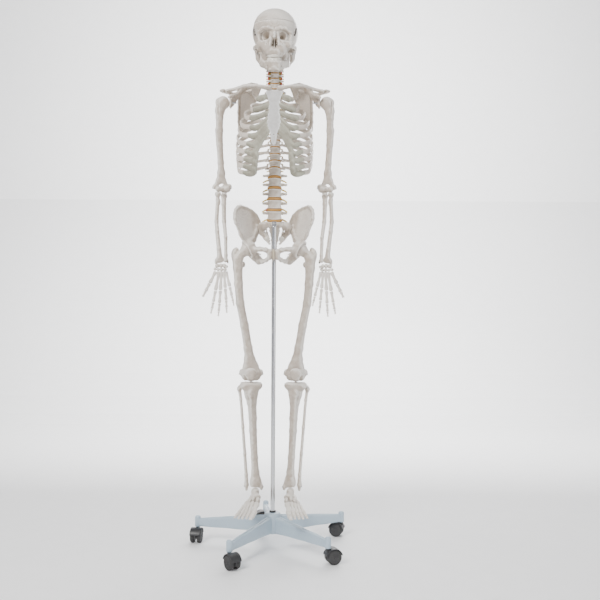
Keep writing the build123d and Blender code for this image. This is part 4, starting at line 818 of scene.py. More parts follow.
def vertebra(index):
    """One vertebra in its own frame, its forms chosen by its region."""
    _, _, high, wide, deep = SPINE[index]
    region = "lumbar" if index < 5 else "thoracic" if index < 17 else "cervical"
    number = 5 - index if index < 5 else 17 - index if index < 17 else 24 - index
    clay = Clay((0, -deep - 6, -high / 2 - 22), (44 if region == "lumbar" else 38, deep + 58, high / 2 + 22),
                0.85 if region == "cervical" else 1.0, folded=True)
    canal = 10.5 if region == "cervical" else 8.5
    arch_y = deep + canal - 1
    if number == 1 and region == "cervical":
        clay.bar([(0, -14, 0), (9, -11, 0), (15, -4, 0)], [4.2, 3.6, 5], 3)
        clay.egg((14, 1, 0), (6.5, 11, 7.5), 3)
        clay.bar([(16, 8, 0), (14, 20, 0), (0, 28, 0)], [4.2, 3.4, 4], 3)
        clay.bar([(18, 1, 0), (34, 4, -1)], [4.6, 4.2], 3, (1, 1.4, 0.8))
        clay.bar([(20, 3, -12), (20, 3, 12)], 3.1, 1, cut=True)
        clay.egg((13, 1, 9), (5, 9, 3.5), 1, cut=True)
        return clay.weather(0.15)
    drum(clay, wide, deep, high, {"lumbar": 2.6, "thoracic": 1.8, "cervical": 1.2}[region])
    if region == "lumbar":
        clay.bar([(wide * 0.55, deep * 0.6, high * 0.14), (canal + 3.5, arch_y - 2, 2)], [6, 5], 4,
                 (0.8, 1, 1.2))
        clay.bar([(canal + 3, arch_y, 1), (7, arch_y + canal, -3), (0, arch_y + canal + 3, -4)], [5, 4, 4], 3,
                 (1, 1, 1.7))
        clay.bar([(0, arch_y + canal + 3, -3), (0, arch_y + canal + 26, -5)], [3.4, 4.2], 3, (1, 1, 2.5))
        clay.bar([(canal + 6, arch_y - 1, 2), (26, arch_y + 2, 3), (39.5, arch_y + 3, 3)], [4.6, 3.6, 3.4], 3,
                 (1, 0.8, 1.3))
        clay.bar([(canal + 6, arch_y + 2, 3), (canal + 9, arch_y + 5, high / 2 + 9)], [5, 4.4], 3)
        clay.bar([(canal + 1, arch_y + 8, -5), (canal + 1, arch_y + 8, -high / 2 - 9)], [5, 4.2], 3)
    elif region == "thoracic":
        drop = 22 if number in range(4, 10) else 13
        clay.bar([(wide * 0.6, deep * 0.7, high * 0.2), (canal + 3, arch_y - 2, 2)], [4.2, 4], 3)
        clay.bar([(canal + 2.5, arch_y, 1), (6, arch_y + canal - 1, -2), (0, arch_y + canal + 1, -3)],
                 [4, 3.6, 3.6], 3, (1, 1, 1.6))
        clay.bar([(0, arch_y + canal, -3), (0, arch_y + canal + 14, -3 - drop * 0.45),
                  (0, arch_y + canal + 29, -3 - drop)], [3.2, 2.6, 2.8], 3, (1, 1, 1.5))
        clay.bar([(canal + 2, arch_y + 2, 2), (25, arch_y + 10, 4), (32, arch_y + 13, 4.5)], [4.4, 4, 4.6], 3)
        clay.bar([(canal + 2, arch_y + 3, 2), (canal + 2, arch_y + 3, high / 2 + 4)], [3.6, 2.8], 3)
        clay.bar([(canal, arch_y + 7, -2), (canal, arch_y + 7, -high / 2 - 5)], [3.6, 2.8], 3)
        clay.egg((wide + 1, deep * 0.45, high * 0.3), (4, 4.5, 3), 1, cut=True)
    else:
        reach = 28 if number == 7 else 22 if number == 2 else 14
        clay.bar([(wide * 0.8, 0, -1), (20, -4, -1), (27, 0, -2)], [3, 2.8, 3], 2.5)
        clay.bar([(wide * 0.8, deep * 0.7, 0), (20, 9.5, 0), (27, 6, -2)], [3, 3, 3], 2.5)
        clay.bar([(27, 0, -2), (27, 6, -2)], 3, 1)
        clay.bar([(20, 3, -14), (20, 3, 14)], 3.1, 1, cut=True)
        clay.egg((16.5, 13, 0), (5.6, 5, high / 2 + 4), 3)
        clay.bar([(16, 14, 0), (8, arch_y + canal - 3, -1), (0, arch_y + canal, -2)], [3.4, 2.8, 3.2], 3,
                 (1, 1, 1.6))
        clay.bar([(0, arch_y + canal - 1, -2), (2 if number < 7 else 0, arch_y + canal + reach, -5)],
                 [3.2, 2.8], 3)
        clay.bar([(wide - 1.5, -3, high / 2 - 1), (wide - 0.5, 4, high / 2 + 1.5)], 1.6, 2)
        if number == 2:
            clay.bar([(0, -1, 6), (0, -2, 24)], [6.4, 5.2], 3)
    clay.bar([(0, 0, -30), (0, 0, 30)], 4.4, 0.2, cut=True)
    return clay.weather(0.18)


def make_spine():
    """The vertebrae by region, discs, the slipped disc, nerve roots and arteries."""
    regions = {"lumbar": [], "thoracic": [], "cervical": []}
    for index, (centre, up, *_) in enumerate(SPINE):
        points, faces, hollow = vertebra(index).surface()
        region = "lumbar" if index < 5 else "thoracic" if index < 17 else "cervical"
        regions[region].append((seated(points, centre, up), faces, hollow))
    for region, parts in regions.items():
        points, faces = joined([(p, f) for p, f, _ in parts])
        hollow = np.concatenate([h for *_, h in parts])
        piece(f"{region}_bones", points, faces, "torso", "bone_plastic", BONE, [f"{region}_vertebrae"],
              shade=hollow)
    discs = []
    for centre, up, wide, deep, thick in DISCS:
        rise = np.linspace(-1, 1, 9)
        out = 1.04 - 0.10 * rise ** 2 - 0.12 * rise ** 8
        angle = np.linspace(0, 2 * pi, 48, endpoint=False)
        notch = 1 - 0.10 * np.exp(-((angle - pi / 2) / 0.5) ** 2)
        ring = np.stack([wide * np.outer(out, np.cos(angle) * notch),
                         deep * np.outer(out, np.sin(angle) * notch),
                         (thick + 0.5) * rise[:, None] * np.ones(48)], -1).reshape(-1, 3)
        ends = np.array([[0, 0, -thick - 0.5], [0, 0, thick + 0.5]])
        points = seated(np.concatenate([ring, ends]), centre, up)
        discs.append((points, outward(points, tube_faces(9, 48))))
    piece("discs", *joined(discs), "torso", "disc_rubber", DISC, ["intervertebral_discs"])
    centre, up, wide, deep, thick = DISCS[1]
    slip = Clay((-wide - 8, -12, -9), (-wide + 14, 22, 9), 0.6)
    slip.egg((-wide + 1, 6, 0), (5.4, 7, 5), 0)
    slip.egg((-wide - 1.5, 9, -3), (4, 4, 4), 2)
    slip.egg((-wide + 1, 0, 2), (3.6, 4.4, 3.4), 2)
    points, faces, hollow = slip.surface()
    piece("slipped_disc", seated(points, centre, up), faces, "torso", "artery_plastic", ARTERY, shade=hollow)
    nerves = []
    for index, (centre, up, wide, deep, thick) in enumerate(DISCS):
        radius, reach = (2.8, 18) if index < 5 else (1.9, 8) if index < 17 else (2.7, 17)
        dip = 10 if index < 5 else 3
        inner_y = deep + (1 if index > 16 else 4)
        route = [(wide * 0.3, inner_y + 3, 2), (wide * 0.75, inner_y, 1),
                 (wide + reach * 0.4, inner_y - 1, -dip * 0.3), (wide + reach, inner_y - 3, -dip)]
        route = seated(np.array(route), centre, up)
        part = carried(route, [radius, radius * 1.25, radius, radius * 0.8],
                       [radius, radius * 1.25, radius, radius * 0.8], around=14, count=16)
        nerves += [part, flipped(part)]
    piece("nerve_roots", *joined(nerves), "torso", "nerve_plastic", NERVE, ["spinal_nerves"])
    stops = [seated(np.array([[20.0, 3.0, 0.0]]), c, u)[0] for c, u, *_ in SPINE[18:24]]
    wave = [(2.2, 0.5, 0), (2.6, 0, 0), (2.2, 0.4, 0), (2.6, 0, 0), (3.2, 0.6, 0)]
    route = [stops[0] - (1, 0, 9)]
    for low, high, bulge in zip(stops, stops[1:], wave):
        route += [low, (low + high) / 2 + bulge]
    route += [stops[-1], stops[-1] + (-4, 6, 7), stops[-1] + (-11, 9, 9)]
    part = carried(route, 1.9, 1.9, around=14, count=110)
    piece("neck_arteries", *joined([part, flipped(part)]), "torso", "artery_plastic", ARTERY,
          ["vertebral_arteries"])


# ---------------------------------------------------------------- pelvis
def sacrum_and_tail():
    """Sacrum: five fused bodies, wings, four pairs of holes and a crest; and the tailbone's four beads."""
    top = SPINE[0][0] - SPINE[0][1] * (SPINE[0][2] / 2 + 8.5)
    y, z = top[1], top[2]
    bone = Clay((0, y - 30, z - 96), (60, y + 66, z + 14), 1.1, folded=True)
    line = [(0, y + 1, z - 6), (0, y + 14, z - 26), (0, y + 25, z - 44), (0, y + 31, z - 60),
            (0, y + 32, z - 76)]
    bone.bar(line, [19, 15, 11, 9, 6.5], 4, (1.25, 1, 1))
    bone.bar([(12, y + 4, z - 12), (34, y + 16, z - 14), (47, y + 26, z - 18)], [13, 14, 11], 6, (1, 1, 1))
    bone.bar([(47, y + 24, z - 12), (46, y + 34, z - 30), (31, y + 38, z - 50), (18, y + 35, z - 70)],
             [10, 11, 9, 6], 6, (0.8, 1, 1.2))
    bone.egg((0, y - 1, z - 5), (24.5, 17, 6.5), 3)
    bone.half_space((0, y, z - 0.4), (0, -0.22, 1), 1)
    for fx, fy, fz, r in ((19, 8, -25, 4.6), (17, 19, -41, 4.0), (14.5, 26, -56, 3.4), (12.5, 30, -69, 2.8)):
        bone.bar([(fx + 5, y + fy - 26, z + fz - 2), (fx, y + fy + 30, z + fz + 4)], r, 3, cut=True)
        bone.bar([(0, y + fy - 22, z + fz + 8), (fx - 5, y + fy - 20, z + fz + 8)], 1.2, 3, cut=True)
    bone.bar([(0, y + 34, z - 14), (0, y + 46, z - 30), (0, y + 48, z - 48), (0, y + 42, z - 66)],
             [4.5, 4.5, 4, 3], 3, (0.8, 1, 1.3))
    for side_x in (15, 31):
        bone.bar([(side_x, y + 34, z - 18), (side_x * 0.85, y + 44, z - 36), (side_x * 0.62, y + 42, z - 56)],
                 2.6, 4)
    bone.bar([(13, y + 30, z - 8), (15, y + 27, z + 6)], [5, 4], 4)
    bone.bar([(0, y - 40, z - 10), (0, y - 10, z - 10)], 6.6, 0.4, cut=True)
    bone.weather(0.22)
    tail = Clay((0, y, z - 112), (12, y + 44, z - 76), 0.9, folded=True)
    for at, radii in (((32, -83), (8.5, 5, 4.6)), ((28, -91.5), (6, 4.4, 4.4)),
                      ((22, -98.5), (4.6, 3.8, 3.8)), ((15.5, -103.5), (3.4, 3.2, 2.8))):
        tail.egg((0, y + at[0], z + at[1]), radii, 2)
    return bone, tail.weather(0.15)


def wing_point(a, b, out=0.0):
    """A place on the left ilium's wing, a forward along it and b up it, moved out by its bow."""
    forward = np.array([60.0, -130.0, 0.0]) / sqrt(60 ** 2 + 130 ** 2)
    normal = np.cross(forward, (27.0, 8.0, 131.0))
    normal /= np.linalg.norm(normal)
    up = np.cross(normal, forward)
    return HIP + (-5, 4, 24) + a * forward + b * up + (wing_bow(a, b) + out) * normal


def wing_bow(a, b):
    """How far the wing's sheet stands off its flat plane: hollow inside, its front edge flared outwards."""
    hollow = 9.0 * np.cos(np.clip(a, -90, 90) * pi / 170) * np.sin(np.clip(b, 0, 128) * pi / 150)
    return 5.0 * np.clip(-a / 90, 0, 1) ** 2 - hollow


def hip_bone():
    """The left hip bone: bowed wing with a thick crest, deep cup, and the ring of pubis and ischium."""
    hip_z = HIP[2]
    bone = Clay((2, -58, hip_z - 72), (136, 100, hip_z + 160), 1.25)
    bone.egg(HIP, (31.5, 31.5, 31.5), 0)
    bone.half_space(HIP + (3, 0, 0), (0.8, -0.25, -0.5), 1.5)
    outline = [(-20, -14), (-46, 8), (-60, 22), (-72, 30), (-78, 44), (-92, 60), (-90, 92), (-70, 114),
               (-36, 125), (6, 127), (40, 112), (62, 82), (62, 60), (48, 48), (42, 26), (36, 4), (22, -14)]
    forward = np.array([60.0, -130.0, 0.0])

    def thick(a, b):
        return 4.6 + 5.0 * np.clip((18 - b) / 30, 0, 1) + 5.0 * np.clip((-a - 48) / 26, 0, 1)

    bone.plate(HIP + (-5, 4, 24), forward, (27.0, 8.0, 131.0), outline, thick, 7, bow=wing_bow)
    crest = [(62, 78), (54, 96), (40, 110), (22, 121), (4, 126), (-16, 125), (-36, 123), (-60, 116),
             (-82, 100), (-91, 80), (-90, 62)]
    bone.bar([wing_point(a, b) for a, b in crest], [5.4, 4.8, 5.6, 5.8, 4.6, 4.2, 4.6, 5.4, 6.4, 6.4, 5.0], 4)
    bone.bar([wing_point(62, 78), wing_point(61, 62), wing_point(50, 46)], [5.6, 4.6, 3.6], 3)
    bone.bar([wing_point(50, 46), wing_point(42, 26), wing_point(38, 12)], [3.8, 6, 5.4], 4)
    bone.bar([wing_point(-89, 62), wing_point(-76, 42), wing_point(-60, 24), wing_point(-44, 8)],
             [5, 5, 4.4, 6], 4)
    bone.bar([wing_point(-70, 60, 4), wing_point(-60, 40, 4), wing_point(-34, 14, 2), wing_point(8, 0, 4)],
             [7, 7, 6, 5], 7)
    bone.bar([HIP + (-22, -18, -2), HIP + (-44, -30, -1), HIP + (-64, -38, -4), HIP + (-76, -40, -12)],
             [11, 7.4, 7.2, 8], 6)
    bone.egg(HIP + (-78, -39, -19), (9.5, 8.5, 18), 5)
    bone.egg(HIP + (-65, -44, -4), (5, 4.4, 4), 3)
    bone.bar([HIP + (-78, -37, -27), HIP + (-66, -20, -36), HIP + (-52, 2, -40), HIP + (-45, 12, -39)],
             [7.0, 6.0, 6.6, 9], 5, (0.9, 1, 1.1))
    bone.bar([HIP + (-14, 16, -8), HIP + (-26, 20, -24), HIP + (-37, 18, -35)], [17, 13.5, 13], 7)
    bone.egg(HIP + (-38, 21, -36), (11.5, 14, 14), 6)
    bone.bar([HIP + (-20, 28, -8), HIP + (-34, 38, -12), HIP + (-44, 42, -15)], [7, 3.4, 1.6], 4)
    bone.egg(HIP + (-53, -14, -17), (15.5, 20, 11.5), 5, cut=True,
             turn=((0.8, 0.6, 0), (-0.6, 0.8, 0), (0, 0, 1)))
    bone.bar([HIP + (-30, -2, -10), HIP + (-52, -16, -17)], [3, 7], 4, cut=True)
    bone.egg(HIP, (24, 24, 24), 1.2, cut=True)
    bone.egg(HIP + (-8, 2, -3), (20, 11, 11), 2, cut=True)
    bone.bar([HIP + (4, -4, -12), HIP + (16, -8, -36)], [8, 7], 2, cut=True)
    bone.bar([HIP + (-60, 0, 0), HIP], 3.3, 0.5, cut=True)
    bone.half_space((3.7, 0, 0), (-1, 0, 0), 1)
    return bone.weather(0.28)


def make_pelvis():
    """Sacrum, tailbone, hip bones, the pad between them, and the screw heads."""
    sacrum, tail = sacrum_and_tail()
    clay_piece("sacrum_bone", sacrum, "torso", "bone_plastic", BONE, ["sacrum"])
    clay_piece("tail_bone", tail, "torso", "bone_plastic", BONE, ["coccyx"])
    clay_pair("hip_bone_shape", hip_bone(), "torso", "bone_plastic", BONE, ["hip_bone"])
    pad = Clay((0, -54, HIP[2] - 40), (5, -30, HIP[2] + 2), 0.7, folded=True)
    pad.egg((0, -41, HIP[2] - 19), (9, 9.4, 18), 0)
    pad.half_space((3.6, 0, 0), (1, 0, 0), 0.5)
    clay_piece("pubic_disc", pad.weather(0.15), "torso", "pad_rubber", PAD, ["pubic_pad"])
    knobs = []
    top = SPINE[0][0] - SPINE[0][1] * (SPINE[0][2] / 2 + 8.5)
    for side in (-1, 1):
        start = np.array([side * 25.0, top[1] - 8.0, HIP[2] + 38.0])
        knobs.append(lathe([0.8, 6.2, 8.6, 9.2, 9.2, 6.0, 5.0], [5.6, 5.0, 3.0, 0.4, -5.0, -7.0, -34.0],
                           start, (0.1 * side, -1, -0.1), 28))
    piece("pelvis_bolt_caps", *joined(knobs), "torso", "bone_plastic", TEETH)


# ---------------------------------------------------------------- rib cage
HALF_WIDTHS = (52, 80, 100, 113, 121, 125, 127, 127, 126, 124, 116, 96)
FRONTS = ((50, -44, -27), (63, -38, -46), (74, -52, -60), (75, -61, -74), (80, -68, -84), (85, -73, -92),
          (90, -76, -97), (94, -76, -99), (96, -72, -98), (97, -63, -93))


def rib_line(number):
    """A left rib's middle line, from its head at the vertebra, round the side, to its front end."""
    centre, _, _, wide, deep = SPINE[17 - number]
    half, (y0, z0) = HALF_WIDTHS[number - 1], centre[1:]
    back = y0 + deep + 14
    if number == 1:
        plan = [(wide + 3, y0 + 6, 3), (28, back - 2, 4), (43, back - 4, 1), (58, y0 + 2, -8),
                (63, y0 - 22, -18), (50, -44, -27)]
    elif number > 10:
        plan = [(wide + 4, y0 + 5, 0), (31, back - 1, -2), (half * 0.70, back + 1, -10),
                (half, y0 - 8, -26 if number == 11 else -30)]
        plan = plan[:3] + [(half * 0.94, y0 + 10, -20),
                           (half, y0 - 12, -30)] + ([(half * 1.0, y0 - 44, -44)] if number == 11 else [])
    else:
        front_x, front_y, fall = FRONTS[number - 1]
        plan = [(wide + 4, y0 + 5, 1), (29, back - 3, 0), (half * 0.56, back + 5, -6),
                (half * 0.84, back - 12, 0.23 * fall), (half, back - 46, 0.50 * fall),
                (half * 0.985, (back + front_y) / 2 - 18, 0.72 * fall),
                (front_x + (half - front_x) * 0.68, front_y + 20, 0.92 * fall), (front_x, front_y, fall)]
    return np.array([(x, y, z0 + z) for x, y, z in plan])


def rib(number):
    """One rib: a flat bar on edge, twisted with the cage, thicker at its head, swollen at its front end."""
    line = rib_line(number)
    middle = np.array([0.0, line[0][1] - 30, 0.0])
    run = smooth_line(line, 200)
    outward_way = run - middle
    outward_way[:, 2] = 0
    outward_way /= np.linalg.norm(outward_way, axis=1, keepdims=True)
    up = np.broadcast_to((0.0, 0.0, 1.0), run.shape) + outward_way * (0.9 if number == 1 else 0.12)
    tall = [5.0, 4.6, 6.6, 7.6, 7.8, 7.8, 7.8, 8.2] if number > 1 else [4.4, 4.0, 6.0, 7.6, 7.8, 8.0]
    thick = [4.0, 3.4, 3.7, 3.3, 3.1, 3.0, 3.1, 3.7] if number > 1 else [3.4, 3.2, 3.0, 2.7, 2.7, 3.2]
    if number > 10:
        tall, thick = [4.8, 4.6, 6.2, 5.8, 3.8], [3.6, 3.3, 3.3, 2.8, 2.2]
    return carried(line, thick, tall, up=up, around=18, count=64, power=2.3, dome=0.8)


def breast_point(across, down, off=0.0):
    """A place on the breastbone: across to the left, down from its notch, off forwards."""
    top, tip = np.array([0.0, -40.0, SPINE[16][0][2] + 4.0]), np.array([0.0, -92.0, 0.0])
    lean = (tip[1] - top[1]) / 192.0
    way = np.array([0.0, lean, -sqrt(1 - lean * lean)])
    return top + across * np.array([1.0, 0, 0]) + down * way + off * np.cross((1, 0, 0), way)


NOTCHES = (24, 55, 84, 108, 127, 139, 149)


def breastbone():
    """Breastbone: an hourglass plate with dished notches at its edges, a ridge at its angle and a tip."""
    outline = [(0, 3), (8, 1), (15, -3), (22, -3), (27, 3), (28, 14), (23, 28), (18, 42), (16, 52),
               (18, 62), (18, 76), (20, 90), (22, 104), (23, 120), (21, 136), (17, 148), (12, 156),
               (10, 168), (9, 182), (6, 196), (0, 201)]
    outline += [(-a, b) for a, b in reversed(outline[1:-1])]
    low, high = breast_point(34, 200, 12), breast_point(-34, -8, -12)
    front = min(low[1], high[1]) - 16
    bone = Clay((0, front, low[2] - 8), (36, high[1] + 18, high[2] + 10), 0.95, folded=True)
    origin = breast_point(0, 0)
    down = breast_point(0, 1) - origin
    bone.plate(origin, (1, 0, 0), down, outline, 9.0, 2)
    bone.bar([breast_point(0, 53, 3.2), breast_point(14, 53, 3.2)], 2.6, 3)
    bone.egg(breast_point(27, 0, 0), (5.5, 7, 6), 2, cut=True)
    for down_by in NOTCHES[1:]:
        edge = np.interp(down_by, (44, 62, 90, 120, 136, 148, 156), (17, 17, 19, 22, 20, 16, 10))
        bone.egg(breast_point(edge + 1.5, down_by, 0), (3.4, 6, 4), 2, cut=True)
    for down_by in (70, 95, 117, 133):
        bone.bar([breast_point(0, down_by, 4.6), breast_point(15, down_by, 4.4)], 0.9, 2)
    bone.egg(breast_point(0, 30, 8), (14, 5, 14), 4, cut=True)
    bone.bar([breast_point(0, 164, -20), breast_point(0, 164, 20)], 1.9, 0.8, cut=True)
    return bone.weather(0.25)


def cartilages():
    """The left and right cartilages as one folded lump: bars from the ribs' ends to the breastbone, the lower
    ones running together in the arch below it."""
    bars = Clay((0, -106, SPINE[16][0][2] - 300), (108, -18, SPINE[16][0][2] + 6), 1.25, folded=True)
    edges = np.interp(NOTCHES, (0, 24, 44, 62, 90, 120, 136, 148, 156), (24, 27, 17, 17, 19, 22, 20, 16, 10))
    ends = []
    for number in range(1, 11):
        line = smooth_line(rib_line(number), 100)
        ahead = (line[-1] - line[-4]) / np.linalg.norm(line[-1] - line[-4])
        ends.append((line[-1] + ahead * 1.5, ahead))
    for number, (start, ahead) in enumerate(ends, 1):
        if number < 8:
            stop = breast_point(edges[number - 1] + 2.0, NOTCHES[number - 1])
            if number < 4:
                corner = (start + ahead * 12 + stop) / 2 + (0, -3, -2)
                route = [start, start + ahead * 8, corner, stop]
            else:
                low = start + ahead * (10 + 5 * (number - 3)) + (0, 0, -3)
                near = stop + (10 + 3 * (number - 4), -1, -14 - 4 * (number - 4))
                route = [start, low, (low + near) / 2 + (0, 0, -2), near, stop]
            radii = np.linspace(7.6, 6.6, len(route))
        else:
            above, above_ahead = ends[number - 2]
            low = start + ahead * 22 + (-4, 0, -2)
            route = [start, low, low + (-14, -5, 6), above + above_ahead * 34 + (-6, -2, -2)]
            radii = [7.0, 6.8, 6.4, 5.4]
        curve = smooth_line(route, 12)
        bars.bar(curve, np.interp(np.linspace(0, 1, 12), np.linspace(0, 1, len(radii)), radii), 4.5,
                 (1, 0.6, 1))
    return bars.weather(0.3)


def make_thorax():
    """Ribs, cartilages, breastbone and its screw."""
    left = joined([rib(n) for n in range(1, 13)])
    pair("rib_shapes", left, "torso", "bone_plastic", RIB, ["ribs"])
    clay_piece("cartilage_bars", cartilages(), "torso", "cartilage_plastic", CARTILAGE, ["costal_cartilages"])
    clay_piece("breast_bone", breastbone(), "torso", "sternum_plastic", STERNUM, ["sternum"])
    screw = lathe([0.6, 2.2, 2.6, 2.6], [1.0, 0.7, 0.0, -3.0], breast_point(0, 164, 3.6),
                  breast_point(0, 0, 1) - breast_point(0, 0), 24)
    piece("breast_screw", *screw, "torso", "steel", SCREW)


# ---------------------------------------------------------------- shoulders and arms
def collar_bone():
    """The left collar bone: a round bar in an S, flattened at its outer end, with a swollen inner end."""
    notch = breast_point(0, 0)
    route = [(17, notch[1] - 3, notch[2] + 5), (36, notch[1] - 8, notch[2] + 7),
             (66, notch[1] - 10, notch[2] + 11), (98, notch[1] + 6, notch[2] + 15),
             (128, notch[1] + 32, notch[2] + 12), (158, SHOULDER[1] - 6, SHOULDER[2] + 39)]
    bone = Clay((12, notch[1] - 24, notch[2] - 12), (170, SHOULDER[1] + 14, notch[2] + 30), 1.0)
    curve = smooth_line(route, 40)
    bone.bar(curve, np.interp(np.linspace(0, 1, 40), (0, 0.08, 0.3, 0.7, 0.9, 1), (9.5, 8, 6, 5.6, 6, 5.4)),
             1.5, (1, 1, 0.92))
    bone.egg(route[-1], (9, 10, 5.5), 4)
    bone.egg((124, notch[1] + 30, notch[2] + 7), (6, 5, 3.4), 4)
    return bone.weather(0.3)


def shoulder_blade():
    """The left shoulder blade: thin bowed sheet with thick borders, spine ridge, two horns and the socket."""
    x, y, z = SHOULDER
    top, low, neck = np.array([52, 96, z + 76]), np.array([118, 96, z - 78]), np.array([146, 22, z - 8])
    bone = Clay((44, -34, z - 90), (186, 120, z + 88), 1.15)
    down = low - top
    outward_way = neck - top
    flat_normal = np.cross(down, outward_way)
    across = np.cross(flat_normal, down)
    across /= np.linalg.norm(across)
    length = np.linalg.norm(down)
    step = down / length
    outline = [(0, 2), (6, -3), (24, 0), (48, 8), (66, 22), (78, 34), (86, 46), (86, 64), (72, 74),
               (58, 92), (42, 120), (28, 146), (18, 166), (8, 171), (0, 166), (-3, 140), (-5, 90),
               (-4, 50)]

    def sheet(a, b):
        return 7.0 * np.sin(np.clip(a, 0, 80) * pi / 90) * np.sin(np.clip(b, 0, 170) * pi / 170)

    def at(a, b, out=0.0):
        normal = np.cross(across, step)
        return top + a * across + b * step + (out + float(sheet(a, b))) * normal

    bone.plate(top, across, step, outline, 3.2, 3, bow=sheet)
    bone.bar([at(a, b) for a, b in ((0, 2), (-4, 50), (-4.5, 90), (-2, 140), (2, 164), (9, 168))],
             [3.6, 2.8, 2.8, 3.0, 4.4, 5.2], 3)
    bone.bar([at(a, b) for a, b in ((12, 166), (28, 144), (44, 116), (60, 88), (76, 68))],
             [5, 4.6, 4.4, 4.8, 7], 4)
    bone.bar([at(a, b) for a, b in ((0, 1), (22, -1), (48, 8), (64, 20))], [3.4, 2.4, 2.2, 2.6], 3)
    bone.bar([at(70, 50), at(80, 52), (147, 16, z - 1)], [6, 8, 10], 6)
    bone.egg((149, y + 1, z - 1), (6, 12.5, 18), 4)
    bone.egg((x, y, z), (23.6, 23.6, 23.6), 1, cut=True)
    behind = [at(0, 48), at(30, 40, -14), at(56, 36, -22), (148, 66, z + 44), (164, 44, z + 46),
              (172, 22, z + 43), (171, 4, z + 40)]
    bone.bar(behind, [3, 3.6, 4.6, 5.6, 6.4, 6.6, 5.6], 4, (1, 1, 0.9))
    bone.bar([(152, 58, z + 45), (172, 40, z + 46), (178, 18, z + 43), (172, -2, z + 41)], [6, 6.6, 6, 5], 5,
             (1.1, 1.1, 0.62))
    for share, reach in ((0.15, 5), (0.35, 11), (0.55, 16), (0.75, 18)):
        a = 8 + 62 * share
        bone.bar([at(a, 48 - 12 * share), at(a, 44 - 12 * share, -reach)], [2.6, 2.6], 3, (1.4, 1, 1))
    bone.bar([at(66, 34), (142, 16, z + 15), (138, -4, z + 20), (143, -18, z + 17), (150, -24, z + 12)],
             [7, 6.6, 6, 5.4, 5.2], 5)
    bone.bar([(120, y, z), (170, y, z)], 3.3, 0.4, cut=True)
    return bone.weather(0.28)


def slot_cut(bone, centre, low, high, reach):
    """The fan-shaped slot that a link's pin crosses, and the hollow for its ball."""
    for angle in np.radians(np.arange(low, high + 1, 4)):
        end = np.asarray(centre) + reach * np.array([cos(angle), 0, sin(angle)])
        bone.bar([centre, end], 3.5, 0.3, cut=True)
    bone.egg(centre, (5.8, 5.8, 5.8), 0.3, cut=True)


def upper_arm():
    """The left humerus: round head, two tubercles and a groove, flattening shaft, the elbow's two rollers."""
    x, y, z = SHOULDER
    ex, _, ez = ELBOW
    bone = Clay((ex - 38, y - 30, ez - 14), (x + 34, y + 32, z + 26), 1.15)
    bone.egg(SHOULDER, (22.2, 22.2, 22.2), 0)
    bone.bar([SHOULDER + (6, 0, -4), SHOULDER + (11, 0, -26), SHOULDER + (12, 0, -50)], [18, 15.5, 12.2], 6)
    bone.egg(SHOULDER + (14.5, 2, 3), (11.5, 15, 13), 4)
    bone.egg(SHOULDER + (9, -14, -3), (7.5, 7, 10), 4)
    bone.bar([SHOULDER + (17, -16, 6), SHOULDER + (16, -15, -22), SHOULDER + (14, -12, -50)], [2.4, 2.2, 1.2],
             3, cut=True)
    bone.bar([SHOULDER + (12, 0, -50), SHOULDER + (12, 1, -90), (ex + 7, y, ez + 150), (ex + 3, y, ez + 90),
              (ex + 1, y, ez + 55)],
             [12.2, 11.6, 10.8, 10.2, 10.6], 5)
    bone.bar([SHOULDER + (20, -2, -92), SHOULDER + (17, -3, -128)], [5, 4], 8)
    bone.bar([(ex + 1, y, ez + 56), (ex - 4, y + 1, ez + 30), (ex - 16, y + 1, ez + 12)], [9.5, 8, 6.5], 7,
             (1.1, 0.8, 1))
    bone.bar([(ex + 1, y, ez + 56), (ex + 8, y, ez + 30), (ex + 18, y - 1, ez + 12)], [9.5, 8, 6.5], 7,
             (1.1, 0.8, 1))
    bone.egg((ex - 26, y + 2, ez + 9), (8.5, 7, 9), 5)
    bone.egg((ex + 24, y, ez + 7), (6.5, 6.5, 8), 5)
    bone.bar([(ex - 20, y, ez), (ex - 16, y, ez)], [11.2, 11.0], 2)
    bone.bar([(ex - 16, y, ez), (ex - 8, y, ez), (ex - 1, y, ez)], [11.0, 8.2, 9.4], 2)
    bone.egg((ex + 11, y - 1.5, ez), (9.4, 10, 10), 3)
    bone.egg((ex - 8, y + 12, ez + 15), (9.5, 8, 10), 3, cut=True)
    bone.egg((ex - 8, y - 12, ez + 14), (8, 7, 6), 3, cut=True)
    bone.egg((ex + 11, y - 13, ez + 15), (6, 6, 5), 3, cut=True)
    slot_cut(bone, SHOULDER, 108, 182, 34)
    return bone.weather(0.3)


